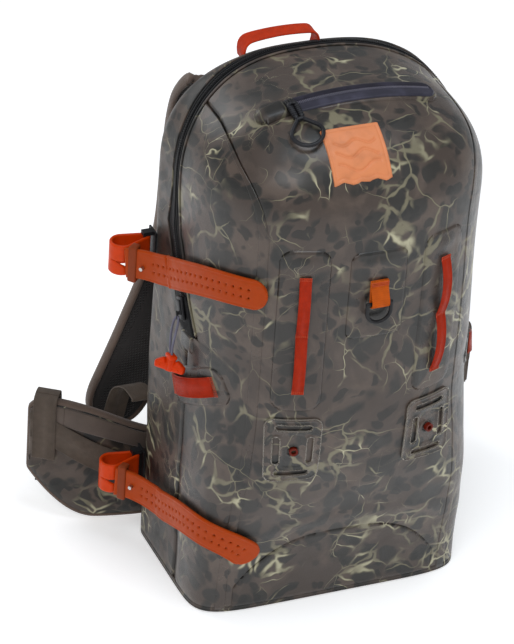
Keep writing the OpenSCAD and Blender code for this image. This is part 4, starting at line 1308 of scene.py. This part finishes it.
def lash_straps():
    for word, s in SIDES:
        def strap(z, x, s=s):
            rise = abs(np.sin(2 * np.pi * (z - LASH_LOW) / (LASH_TOP - LASH_LOW)))
            return ON_FRONT(s * LASH_X + x, z, 2.9 + 6.0 * rise ** 0.8)
        z = np.linspace(LASH_LOW - 2, LASH_TOP + 2, 110)
        laid_band("lash_strap_" + word, strap, z, 12, 1.5, RED_WEB, "pack",
                  replaces=once("lash_straps", s))
        for k, z0 in enumerate((LASH_LOW, (LASH_LOW + LASH_TOP) / 2, LASH_TOP)):
            q, x, h = np.array([z0]), np.array([s * 73.0]), np.array([3.75])
            n = surface_normal(front_at, x, q)[1][0]
            c = ON_FRONT(x, q, h)[0]
            across = unit(ON_FRONT(x + 1, q, h)[0] - c)
            tack(f"lash_tack_{word}_{k}", c, unit(np.cross(n, across)), across, n, 11, THREAD, "pack", 4, 4)


def d_ring_fitting():
    bar = pivot("ring_swing")
    t = 1.5
    front = front_at(np.array(0.0), np.array(bar[2]))[1]
    base_y = front - bar[1] - 2.4
    turns = [(base_y - 1.4, 24), (base_y - 1.2, 14), (3.6, 4.5), (3.4, -1.5), (0.2, -3.9), (-3.3, -1.4),
             (-3.5, 3.4), (-0.4, 10), (base_y - 3.4, 17), (base_y - 3.2, 24)]
    outline = [(0, bar[1] + y, bar[2] + z) for y, z in turns]
    path = even(spline(outline, np.linspace(0, 1, 160)), 1.2)
    sweep("d_ring_tab", path, [1.0, 0, 0], band_profile(19, t), ORANGE_WEB, "pack",
          replaces=["d_ring_webbing"])
    c = np.array([0, bar[1] + base_y - 4.2, bar[2] + 21.0])
    right, back, up = np.eye(3)
    tack("d_ring_tack", c, up, right, -back, 17, THREAD, "pack", 3, 3.4)


def tool_plates():
    low, high = corners("tool_plates")
    hole = 4.8
    for word, s in SIDES:
        cx, cz = s * LASH_X, (low[2] + high[2]) / 2
        slots = [round_rect(17, 3, 2.99, cx, cz + d) for d in (-27, 27)]
        slots += [round_rect(3, 16, 2.99, cx + d, cz) for d in (-16, 16)]
        body = carve(round_rect(27, 37, 9, cx, cz), *slots, disc(cx, cz, hole))

        def top(x, z, d):
            rim = smooth(1 - abs(d - 1.4) / 1.4)
            step = smooth((round_rect(11, 20, 4, cx, cz)(x, z) + 1.4) / 1.2)
            return 2.1 * arc(d, 1.2) + 0.9 * rim - 0.9 * (1 - step)
        plate("tool_plate_" + word, body, (cx - 27, cx + 27, cz - 37, cz + 37), 1.0, top, ON_FRONT,
              PLATE, "pack", replaces=once("tool_plates", s))
        rims = [(27, 37, 9, cx, cz)] + [(18.4, 4.4, 4.3, cx, cz + d) for d in (-27, 27)]
        rims += [(4.4, 17.4, 4.3, cx + d, cz) for d in (-16, 16)]
        for k, (hx, hy, r, x0, z0) in enumerate(rims):
            inside = round_rect(hx - 1.5, hy - 1.5, max(r - 1.5, 0.5), x0, z0)
            ring = carve(round_rect(hx, hy, r, x0, z0), inside)
            plate(f"tool_rim_{word}_{k}", ring, (x0 - hx, x0 + hx, z0 - hy, z0 + hy), 0.75,
                  lambda x, z, d: 2.4 + 0.9 * arc(d, 0.75),
                  ON_FRONT, CLEAR, "pack", base=1.2)


# ---------------------------------------------------------------- carry handle and rod straps
def carry_handle():
    low, high = corners("carry_handle")
    cx, y, top = (low[0] + high[0]) / 2, (low[1] + high[1]) / 2, high[2] - 1.4
    half = (high[0] - low[0]) / 2 - 1.2
    pts = [(-half + 1, y - 1, 546), (-half, y - 1, 555), (-half + 3, y, top - 6.5),
           (-half + 12, y, top - 2.5), (0, y, top), (half - 12, y, top - 1), (half - 3, y, top - 4),
           (half, y - 1, 558), (half - 1, y - 1, 549)]
    path = even(spline([(cx + p[0], p[1], p[2]) for p in pts], np.linspace(0, 1, 200)), 1.6)
    n = len(path)

    def profile(i):
        f = abs(2 * i / (n - 1) - 1)
        q = band_profile(20, 2.3)
        q[:, 0] *= 1 - 0.06 * (1 - f)
        q[:, 1] += 0.9 * (1 - (q[:, 0] / 10) ** 2) * (1 - smooth((f - 0.5) / 0.4))
        return q
    sweep("carry_handle_band", path, [0, 1.0, 0], profile, HANDLE_WEB, "pack",
          replaces=["carry_handle"])


RUBBER_W, RUBBER_T = 34.0, 3.2


def wrap_two(p0, r0, p1, r1):
    """Outline of a band stretched round two circles, starting and ending on the far side of the first."""
    d = p1 - p0
    turn_, open_ = math.atan2(d[1], d[0]), math.acos((r0 - r1) / np.linalg.norm(d))
    a = np.linspace(turn_ + math.pi, turn_ + 2 * math.pi - open_, 30)
    b = np.linspace(turn_ - open_, turn_ + open_, 60)
    c = np.linspace(turn_ + open_, turn_ + math.pi, 30)
    ring = [p0 + r0 * np.stack([np.cos(a), np.sin(a)], 1), p1 + r1 * np.stack([np.cos(b), np.sin(b)], 1),
            p0 + r0 * np.stack([np.cos(c), np.sin(c)], 1)]
    return np.concatenate(ring)


def rod_strap(word):
    *pin, z0 = pivot(word + "_rod_loop_turn")
    bulb_r = 13.0
    bulb = np.array([corners(word + "_strap_loop")[0][0] + bulb_r, 73.0])
    outline = wrap_two(pin, 3.9, bulb, bulb_r - RUBBER_T / 2)
    flat = even(np.pad(outline, ((0, 0), (0, 1))), 0.8)[:, :2]
    s = walked(flat)
    total = s[-1]
    t = unit(np.gradient(flat, axis=0))
    normal = np.stack([t[:, 1], -t[:, 0]], 1)
    if (normal * (flat - (pin + bulb) / 2)).sum() < 0:
        normal = -normal

    def place(a, b, h):
        x, y = (np.interp(a, s, flat[:, i]) for i in (0, 1))
        nx, ny = (np.interp(a, s, normal[:, i]) for i in (0, 1))
        return np.stack([x + nx * h, y + ny * h, z0 + b], -1)
    mid = s[flat[:, 1].argmin()]

    def window(x, y):
        return np.maximum.reduce([x - mid - 8.5, y + 1.2, (-y - 2.2 - 0.5 * (x - mid + 9.5)) / 1.12])
    body = carve(round_rect(total / 2, RUBBER_W / 2, 1.5, total / 2, 0), window)

    def face(x, y, d):
        return RUBBER_T / 2 * (0.45 + 0.55 * arc(d, 1.3))
    plate(word + "_strap_loop_band", body, (0, total, -RUBBER_W / 2, RUBBER_W / 2), 1.1, face, place,
          ORANGE_RUBBER, word + "_rod_strap", base=lambda x, y, d: -face(x, y, d),
          replaces=[word + "_strap_loop"])

    m = Matrix.Translation((-179.5, 54.5, z0)) @ turn(40, "Z")
    keeper = Solid()
    keeper.block((4.4, 9.5, RUBBER_W + 6.5), m @ to(-3.6, 0, 0), 1.9)
    keeper.block((3.4, 7.0, RUBBER_W + 5.5), m @ to(3.4, 0, 0), 1.5)
    for e in (-1, 1):
        keeper.block((10.0, 8.5, 3.6), m @ to(0, 0, e * (RUBBER_W / 2 + 1.6)), 1.5)
    keeper.done(word + "_strap_keeper", KEEPER_RUBBER, word + "_rod_strap", replaces=[word + "_strap_buckle"])


def rod_tail(word, reach, z_a, z_b, rise, late, look):
    """Perforated tail: runs from the loop, through the keeper, over the side and front to a rounded end."""
    z0 = pivot(word + "_rod_loop_turn")[2]
    t = np.linspace(0, 1, 26)
    fine = np.linspace(-0.19, reach, 400)
    girth = at(-1, (z_a + z_b) / 2 / SHOULDER, fine)
    round_bag = walked(girth)
    wrap = np.interp(t * round_bag[-1], round_bag, fine)

    def on_bag(y):
        v = (lerp(z_a, z_b, t) + rise * np.sin(np.pi * t ** late) + y) / SHOULDER
        p = at(-1, v, wrap)
        forward = at(-1, v, wrap + 0.01) - at(-1, v, wrap - 0.01)
        upward = at(-1, v + 0.01, wrap) - at(-1, v - 0.01, wrap)
        n = face_away(unit(np.cross(forward, upward)), p, core_of(p))
        lift = 2.6 + 7.0 * (1 - t) ** 3 + 1.2 * bell(wrap, 0.05, 0.1) * (z_a > 300)
        return p + n * lift[..., None]
    lead = np.array([(-187.5, 58.3, 0), (-182.3, 55.4, 0.12), (-176.0, 49.4, 0.35), (-169.4, 40.8, 0.65),
                     (-163.8, 31.0, 0.95)])
    lead[:, 2] = lerp(z0, z_a, lead[:, 2])
    path = even(spline(np.concatenate([lead, on_bag(0)[2:]]), np.linspace(0, 1, 400)), 1.0)
    upright = np.concatenate([np.tile([0, 0, 1.0], (5, 1)), unit(on_bag(6) - on_bag(-6))[2:]])
    upright = unit(spline(upright, np.linspace(0, 1, len(path))))
    ahead = along(path)
    out = face_away(unit(np.cross(upright, ahead)), path, core_of(path))
    across = unit(np.cross(ahead, out))
    across = across * np.where(across[:, 2:] < 0, -1, 1)
    run = walked(path)
    length = run[-1]

    def place(x, y, h):
        p, a, n = (resample(x, run, q) for q in (path, across, out))
        return p + a * y[..., None] + n * h[..., None]
    half = RUBBER_W / 2 - 0.4
    holes = [disc(x, y, 0.95) for x in np.arange(34, length - 12, 8.2) for y in (-4.6, 4.6)]
    body = carve(round_rect(length / 2 + 8, half, half - 1, length / 2 - 8, 0), *holes)

    def sdf(x, y):
        return np.maximum(body(x, y), -x)
    plate(word + "_strap_tail_band", sdf, (0, length, -half, half), 1.0,
          lambda x, y, d: 2.1 + 1.1 * arc(d, 1.3)
          - 0.45 * np.exp(-((abs(y) - half + 3) / 0.8) ** 2) * (x > 22),
          place, look, None, base=0.0, replaces=[word + "_strap_tail"])
    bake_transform(bpy.data.objects[word + "_strap_tail_band"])


# ---------------------------------------------------------------- harness
def pad_mesh(name, outline, thick, centre, look, body, swell, push=4.0, **kw):
    """Foam pad under fabric: a rounded block that swells under pressure, held to its own space."""
    part = bmesh.new()
    half_t = thick / 2
    rings = [(0.0, 0.985), (0.35, 1.0), (0.65, 1.0), (1.0, 0.985)]
    n = len(outline)
    verts = [[part.verts.new(((centre[0] + x * k) * MM, (centre[1] + lerp(-half_t, half_t, f)) * MM,
                              (centre[2] + z * k) * MM)) for x, z in outline] for f, k in rings]
    for low, high in zip(verts, verts[1:]):
        for j in range(n):
            part.faces.new((low[j], low[(j + 1) % n], high[(j + 1) % n], high[j]))
    part.faces.new(verts[0][::-1])
    part.faces.new(verts[-1])
    bmesh.ops.recalc_face_normals(part, faces=part.faces)
    mesh = bpy.data.meshes.new(name)
    part.to_mesh(mesh)
    part.free()
    mesh.materials.append(look)
    obj = in_scene(name, mesh)
    remesh = obj.modifiers.new("remesh", "REMESH")
    remesh.mode, remesh.voxel_size = "VOXEL", 0.005
    apply_all(obj)
    inflate(obj, push, swell)
    soften = obj.modifiers.new("smooth", "SMOOTH")
    soften.factor, soften.iterations = 0.5, 4
    sub = obj.modifiers.new("sub", "SUBSURF")
    sub.levels = sub.render_levels = 1
    apply_all(obj)
    obj.data.polygons.foreach_set("use_smooth", np.ones(len(obj.data.polygons), bool))
    settle(obj, body, **kw)
    return obj


def apply_all(obj):
    """Replaces the mesh with its modified form and drops the modifiers."""
    graph = bpy.context.evaluated_depsgraph_get()
    mesh = bpy.data.meshes.new_from_object(obj.evaluated_get(graph))
    obj.modifiers.clear()
    looks = list(obj.data.materials)
    obj.data = mesh
    mesh.materials.clear()
    for m in looks:
        mesh.materials.append(m)


def inflate(obj, pressure, cap):
    start = np.empty(len(obj.data.vertices) * 3)
    obj.data.vertices.foreach_get("co", start)
    cloth = obj.modifiers.new("Cloth", "CLOTH")
    cloth.settings.use_pressure = True
    cloth.settings.uniform_pressure_force = pressure
    cloth.settings.effector_weights.gravity = 0
    cloth.settings.tension_stiffness = 8
    cloth.settings.compression_stiffness = 8
    cloth.settings.bending_stiffness = 0.6
    for f in range(1, 21):
        bpy.context.scene.frame_set(f)
    graph = bpy.context.evaluated_depsgraph_get()
    soft = bpy.data.meshes.new_from_object(obj.evaluated_get(graph))
    end = np.empty(len(soft.vertices) * 3)
    soft.vertices.foreach_get("co", end)
    bpy.data.meshes.remove(soft)
    obj.modifiers.clear()
    move = (end - start).reshape(-1, 3)
    reach = np.linalg.norm(move, axis=1, keepdims=True)
    move *= np.minimum(1, cap * MM / np.maximum(reach, 1e-9))
    obj.data.vertices.foreach_set("co", (start.reshape(-1, 3) + move).ravel())
    obj.data.update()
    bpy.context.scene.frame_set(1)


def rounded_outline(hw, hh, r, steps=8):
    pts = []
    for k, (sx, sy) in enumerate(((1, 1), (-1, 1), (-1, -1), (1, -1))):
        for a in np.linspace(0, np.pi / 2, steps):
            b = a + k * np.pi / 2
            pts.append((sx * (hw - r) + r * math.cos(b), sy * (hh - r) + r * math.sin(b)))
    return pts


def channels(obj, lines, width, deep, axis=2):
    """Presses sewn channels into a pad's outer face."""
    co = np.empty(len(obj.data.vertices) * 3)
    obj.data.vertices.foreach_get("co", co)
    p = co.reshape(-1, 3) / MM
    face = p[:, 1] > p[:, 1].mean()
    for z in lines:
        p[face, 1] -= deep * np.exp(-((p[face, axis] - z) / width) ** 2)
    obj.data.vertices.foreach_set("co", (p * MM).ravel())
    obj.data.update()


def back_pads():
    low, high = corners("back_pads")
    mid_y, thick = (low[1] + high[1]) / 2, high[1] - low[1]
    hw, hh = 33.0, (high[2] - low[2]) / 2
    for word, s in SIDES:
        centre = (s * (high[0] - hw), mid_y - 0.5, (low[2] + high[2]) / 2)
        pad = pad_mesh("back_pad_" + word, rounded_outline(hw - 2, hh - 2, 19), thick - 4, centre, MESH,
                       "pack", 3.2, replaces=once("back_pads", s))
        channels(pad, np.linspace(low[2] + 54, high[2] - 54, 5), 4.5, 4.2)
        ring = even(np.array([(centre[0] + x, low[1] + 2.4, centre[2] + z)
                              for x, z in rounded_outline(hw - 0.4, hh - 0.4, 20)]), 3, closed=True)
        tube("back_pad_piping_" + word, ring, 1.8, BINDING, "pack", closed=True)


def lumbar_pad():
    low, high = corners("lumbar_pad")
    hw, hh = (high[0] - low[0]) / 2, (high[2] - low[2]) / 2
    centre = (0, (low[1] + high[1]) / 2 - 0.5, (low[2] + high[2]) / 2)
    pad = pad_mesh("lumbar_pad_foam", rounded_outline(hw - 3, hh - 3, 23), high[1] - low[1] - 5, centre,
                   MESH, "pack", 4.0, replaces=["lumbar_pad"])
    channels(pad, (-46, 0, 46), 4.5, 4.5, axis=0)
    outline = rounded_outline(hw - 0.5, hh - 0.5, 24)
    ring = even(np.array([(x, low[1] + 2.8, centre[2] + z) for x, z in outline]), 3, closed=True)
    tube("lumbar_piping", ring, 2.0, BINDING, "pack", closed=True)


STRAP_PATH = [[78, 99.5, 512], [84, 127, 483], [80, 150, 400],
              [84, 157, 300], [117, 157, 200], [160, 155, 96]]
STRAP_HALF, STRAP_T = 34.0, 13.0


def strap_frames(s, n=150):
    t = np.linspace(0, 1, n)
    p = spline(STRAP_PATH, t) * [s, 1, 1]
    f = along(p)
    w = unit(np.cross(f, [0, 1.0, 0]))
    tip = np.where(t > 0.92, np.sqrt(1 - np.clip((t - 0.92) / 0.0801, 0, 1) ** 2 * 0.75), 1)
    return t, p, w, np.cross(w, f), tip


def shoulder_strap(word, s):
    body = word + "_shoulder"
    t, p, w, n, tip = strap_frames(s)
    if n[len(n) // 2, 1] < 0:
        n = -n
    e = np.sin(np.linspace(-1, 1, 33) * np.pi / 2)[None, :]
    half = (STRAP_HALF - 1.5) * tip[:, None]
    crown = STRAP_T / 2 * np.sqrt(np.clip(1 - abs(e) ** 3.2, 0, 1)) + 1.1
    quilt = 0.5 * np.sin(t[:, None] * 260) * (1 - e ** 2) * 0.4
    end = np.minimum(1, np.minimum(t, 1 - t) / 0.012)[:, None] ** 0.5
    groove = 1.3 * bell(abs(e), 0.72, 0.035)
    base = p[:, None] + w[:, None] * (e * half)[..., None]
    outer = base + n[:, None] * ((crown - groove) * (0.35 + 0.65 * end))[..., None]
    inner = base - n[:, None] * ((crown + quilt - groove * 0.8) * (0.35 + 0.65 * end))[..., None]
    verts, faces = slab(outer, inner)
    nf = (outer.shape[0] - 1) * (outer.shape[1] - 1)
    marks = np.zeros(len(faces), int)
    marks[nf:2 * nf] = 1
    outward(make("shoulder_strap_" + word + "_foam", verts, faces, [BROWN_CLOTH, MESH], body, marks=marks,
                 replaces=["shoulder_strap_" + word]))
    for k in (-1, 1):
        edge = p + w * (k * (STRAP_HALF - 1.2) * tip)[:, None]
        path = even(edge, 3.0)
        sweep(f"shoulder_binding_{'inner' if k * s < 0 else 'outer'}_{word}", path,
              resample(np.linspace(0, 1, len(path)), t, n), binding_profile(6.6, 3.2), BINDING, body)
    keep = (t > 0.14) & (t < 0.93)
    spine = p[keep] + n[keep] * (STRAP_T / 2 + 1.6)
    m = even(spine, 2.5)
    want, have = np.linspace(0, 1, len(m)), np.linspace(0, 1, keep.sum())
    side, up = resample(want, have, w[keep]), resample(want, have, n[keep])
    ripple = 0.5 * abs(np.sin(np.arange(len(m)) * 2.5 * np.pi / 46))[:, None]
    sweep("daisy_webbing_" + word, m + up * ripple, side, band_profile(20, 1.4), BROWN_WEB, body)
    ticks = range(4, len(m) - 4, 18)
    lines = []
    for i in ticks:
        for d in (-1.2, 1.2):
            mid = m[i] + unit(m[i + 1] - m[i]) * d + up[i] * 1.0
            lines.append((np.stack([mid - side[i] * 8.5, mid + side[i] * 8.5]), np.stack([up[i], up[i]])))
    stitches("daisy_tacks_" + word, lines, DARK_THREAD, body, pitch=1.9, length=1.6, r=0.4)


def binding_profile(height, width):
    """Folded edge tape: a rounded lens standing across the edge."""
    a = np.arange(16) * 2 * math.pi / 16
    return np.stack([height * np.cos(a), width * np.sign(np.sin(a)) * abs(np.sin(a)) ** 0.8], 1)


WING_PATH = [[106, 104, 0], [150, 106, 0], [205, 120, 0], [250, 148, 0]]
WING_T = 15.0


def wing_low(x):
    return 5 + np.where(x > 185, 58 * ((x - 185) / 67) ** 2, 0)


def wing_high(x):
    return 104 + 40 * smooth((x - 106) / 120) - np.where(x > 232, 14 * ((x - 232) / 20) ** 2, 0)


def wing_frame(t):
    p = spline(WING_PATH, t)
    f = unit((spline(WING_PATH, np.minimum(t + 0.005, 1)) - spline(WING_PATH, np.maximum(t - 0.005, 0))))
    return p, f, np.stack([f[:, 1], -f[:, 0], 0 * t], 1)


def wing_place(s):
    """Point on the wing: t along it, e up it, d out of its camo face."""
    def place(t, e, d):
        t, e, d = np.broadcast_arrays(np.asarray(t, float), np.asarray(e, float), np.asarray(d, float))
        p, _, n = (q.reshape(t.shape + (3,)) for q in wing_frame(t.ravel()))
        z = lerp(wing_low(p[..., 0]), wing_high(p[..., 0]), e)
        return np.stack([s * (p[..., 0] + n[..., 0] * d), p[..., 1] + n[..., 1] * d, z], -1)
    return place


def hip_wing(word, s):
    body = word + "_hip"
    place = wing_place(s)
    t = np.linspace(0.005, 0.985, 90)[:, None]
    e = np.sin(np.linspace(-1, 1, 50) * np.pi / 2)[None, :] * 0.485 + 0.5
    edge = np.minimum(np.minimum(e, 1 - e) / 0.16, np.minimum(1, np.minimum(t, 1 - t) / 0.06))
    crown = (WING_T / 2 - 1.0) * arc(edge, 1) + 0.9
    wave = 0.7 * np.sin(t * 23 + 3 * e) * np.sin(e * 9)
    groove = 1.2 * bell(e, (0.32 + 0.25 * t), 0.03)
    outer = place(t, e, crown + wave * np.clip(edge, 0, 1) - groove)
    inner = place(t, e, -crown)
    verts, faces = slab(outer, inner)
    nf = (outer.shape[0] - 1) * (outer.shape[1] - 1)
    marks = np.zeros(len(faces), int)
    marks[nf:2 * nf] = 1
    outward(make("hip_wing_" + word + "_foam", verts, faces, [CAMO_WING, MESH], body, marks=marks,
                 replaces=["hip_wing_" + word]))
    rim = np.concatenate([np.stack([np.linspace(0.01, 0.98, 60), np.full(60, 0.99)], 1),
                          np.stack([np.full(20, 0.985), np.linspace(0.96, 0.04, 20)], 1),
                          np.stack([np.linspace(0.98, 0.01, 60), np.full(60, 0.01)], 1)])
    path = place(rim[:, 0], rim[:, 1], 0)
    side = place(rim[:, 0], rim[:, 1], 1.0) - path
    smooth_path = even(path, 3.0)
    f = np.linspace(0, 1, len(smooth_path))
    s0 = walked(path)
    across = resample(f * s0[-1], s0, side)
    sweep("hip_binding_" + word, smooth_path, across, binding_profile(4.8, 3.0), BINDING, body)
    def cover(name, t, e, rise, look):
        inside = np.minimum(np.minimum(e, 1 - e) / 0.14, (1 - t) / 0.06)
        shell = (WING_T / 2 - 0.6) * arc(inside, 1) + rise
        verts, faces = slab(place(t, e, shell), place(t, e, shell - 1.4))
        outward(make(name + word, verts, faces, look, body))
    f, e = np.linspace(0, 1, 30)[:, None], np.linspace(0.16, 0.965, 40)[None, :]
    slant = lerp(0.99 - 0.24 * smooth((e - 0.12) / 0.75), 0.975 + 0 * e, f)
    cover("hip_tip_", slant, e + 0 * f, 1.7, TIP_CLOTH)
    cover("hip_top_band_", np.linspace(0.03, 0.86, 60)[:, None] + np.zeros((1, 14)),
          np.linspace(0.80, 0.965, 14)[None, :] + np.zeros((60, 1)), 1.5, TIP_CLOTH)
    run = np.linspace(0.10, 0.965, 60)
    mid = 0.40 + 0.36 * run
    height = WING_T / 2 + 1.2 + 0.8 * smooth((run - 0.7) / 0.2)
    band = place(run, mid, height)
    band_side = place(run, mid + 0.05, height) - band
    sweep("hip_webbing_guide_" + word, band, band_side, band_profile(30, 1.5), BROWN_WEB, body)


def lower_webbing(word, s):
    pts = [[147, 92.4, 154], [147, 93, 158], [150, 112, 160],
           [155, 130, 146], [160, 137, 112], [163, 140, 84]]
    path = even(spline(pts, np.linspace(0, 1, 120)) * [s, 1, 1], 1.5)
    obj = sweep("lower_webbing_" + word + "_band", path, [1.0, 0, 0], band_profile(25, 1.6), BROWN_WEB,
                None, replaces=["lower_webbing_" + word])
    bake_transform(obj)


def sternum_web(word):
    axis = pivot(word + "_sternum_swing")
    low, high = corners("sternum_strap_" + word)
    y = high[1] - 0.8
    pts = [(axis[1] + 2.6, low[2] + 10), (y - 2.6, axis[2] - 18), (axis[1] + 2.2, axis[2] - 5),
           (axis[1] - 0.4, axis[2] - 3.0), (axis[1] - 2.9, axis[2] + 0.4), (axis[1] - 0.3, axis[2] + 3.0),
           (axis[1] + 2.9, axis[2] + 0.6), (y, axis[2] - 8), (y, axis[2] - 30), (y, low[2] + 1)]
    path = even(spline([(axis[0], a, b) for a, b in pts], np.linspace(0, 1, 200)), 1.2)
    sweep("sternum_webbing_" + word, path, [1.0, 0, 0], band_profile(18, 1.3), BROWN_WEB,
          word + "_sternum_web", replaces=["sternum_strap_" + word])


def waist_web(word, s):
    p, f, n = wing_frame(np.array([0.86]))
    tip, out, run = p[0], n[0], f[0]
    top = wing_high(np.array([tip[0]]))[0]

    def over(d, z):
        q = tip + out * d
        return np.array([s * q[0], q[1], z])
    across = np.array([s * run[0], run[1], 0.0])

    def leg(name, pts, body, **kw):
        path = even(spline(pts, np.linspace(0, 1, 120)), 1.6)
        sweep(name + word, path, across, band_profile(25, 1.6), BROWN_WEB, body, **kw)
    leg("waist_webbing_sewn_", [over(10.2, 76), over(10.4, top - 12), over(9.0, top + 2), over(4, top + 6),
                                over(-0.5, top + 6.4)], word + "_hip")
    hanging = [over(1.4, top + 7), over(-5, top + 7.4), over(-10.8, top + 3.4), over(-13.6, 118),
               over(-15, 96), over(-16, 73)]
    leg("waist_webbing_", hanging, word + "_waist_web", replaces=["hip_webbing_" + word])


# ---------------------------------------------------------------- everything together
front_panel()
for side_word, side_sign in SIDES:
    side_panel(side_word, side_sign)
rear_gusset()
seam_laps()
back_panel()
base_panel()
boot_patch()
main_zip()
main_slider()
zip_pull()
docks()
pocket_zip()
pocket_pull()
emblem()
lash_panels()
lash_straps()
d_ring_fitting()
tool_plates()
carry_handle()
rod_strap("upper")
rod_strap("lower")
rod_tail("upper", 0.57, 353, 392, 10, 1.2, TAIL_RUBBER)
rod_tail("lower", 0.83, 82, 73, 27, 1.6, TAIL_RUBBER)
back_pads()
lumbar_pad()
for side_word, side_sign in SIDES:
    shoulder_strap(side_word, side_sign)
    hip_wing(side_word, side_sign)
    lower_webbing(side_word, side_sign)
    sternum_web(side_word)
    waist_web(side_word, side_sign)

KEPT = {
    BLACK: ["d_ring", "strap_lugs", "ladder_lock_left", "ladder_lock_right", "sternum_slider_left",
            "sternum_slider_right", "sternum_buckle_female", "sternum_buckle_male", "hip_buckle_male",
            "hip_buckle_female"],
    RED_RUBBER: ["tool_grommets"],
    STEEL: ["upper_strap_prong", "lower_strap_prong"],
    STIFFENER: ["frame_sheet"],
    LINING: ["inner_pocket"],
    TAPE: ["inner_zip"],
}
for look, names in KEPT.items():
    for name in names:
        for kept_slot in frame["nodes"][name].material_slots:
            kept_slot.material = look


# ---------------------------------------------------------------- floor, light and camera
def stage():
    mesh = bpy.data.meshes.new("floor")
    size = 12.0
    square = [(-size, -size, 0), (size, -size, 0), (size, size, 0), (-size, size, 0)]
    mesh.from_pydata(square, [], [(0, 1, 2, 3)])
    look = Look("floor_paper")
    paper = look.mix((0.9, 0.9, 0.9, 1), (0.93, 0.93, 0.93, 1), look.noise(3, 3))
    mesh.materials.append(look.finish(paper, 0.7, Emission_Color=(1, 1, 1, 1), Emission_Strength=0.42))
    in_scene("floor", mesh)
    world = bpy.data.worlds.new("studio")
    world.use_nodes = True
    world.node_tree.nodes["Background"].inputs["Color"].default_value = (0.95, 0.97, 1.0, 1)
    world.node_tree.nodes["Background"].inputs["Strength"].default_value = 0.38
    bpy.context.scene.world = world
    bpy.context.scene.view_settings.view_transform = "Standard"


def lamp(name, place, aim, size, power_w, colour=(1, 1, 1)):
    light = bpy.data.lights.new(name, "AREA")
    light.shape, light.size, light.size_y = "RECTANGLE", size[0], size[1]
    light.energy, light.color = power_w, colour
    obj = in_scene(name, light)
    obj.location = place
    obj.rotation_euler = (Vector(aim) - Vector(place)).to_track_quat("-Z", "Y").to_euler()


def camera(az=-24.48, el=32.06, roll=3.97, aim=(-0.0628, 0.0058, 0.286), distance=4.0, lens=222.1):
    a, e = math.radians(az), math.radians(el)
    back = Vector((math.sin(a) * math.cos(e), -math.cos(a) * math.cos(e), math.sin(e)))
    cam = bpy.data.cameras.new("camera")
    cam.lens, cam.sensor_width, cam.clip_end = lens, 36, 100
    obj = in_scene("camera", cam)
    level = back.to_track_quat("Z", "Y").to_matrix().to_4x4()
    obj.matrix_world = Matrix.Translation(Vector(aim) + back * distance) @ level @ turn(roll, "Z")
    bpy.context.scene.camera = obj


stage()
lamp("key", (-1.6, -2.0, 2.6), (0, 0, 0.3), (1.4, 1.0), 27)
lamp("front_soft", (1.5, -2.4, 1.5), (0, 0, 0.3), (1.2, 1.8), 6, (0.94, 0.97, 1.0))
lamp("top_soft", (0.1, -0.5, 2.4), (0, 0, 0.4), (1.2, 0.8), 17, (0.86, 0.93, 1.0))
lamp("rear_rim", (-1.2, 2.2, 1.8), (0, 0, 0.3), (1.2, 1.6), 16)
camera()
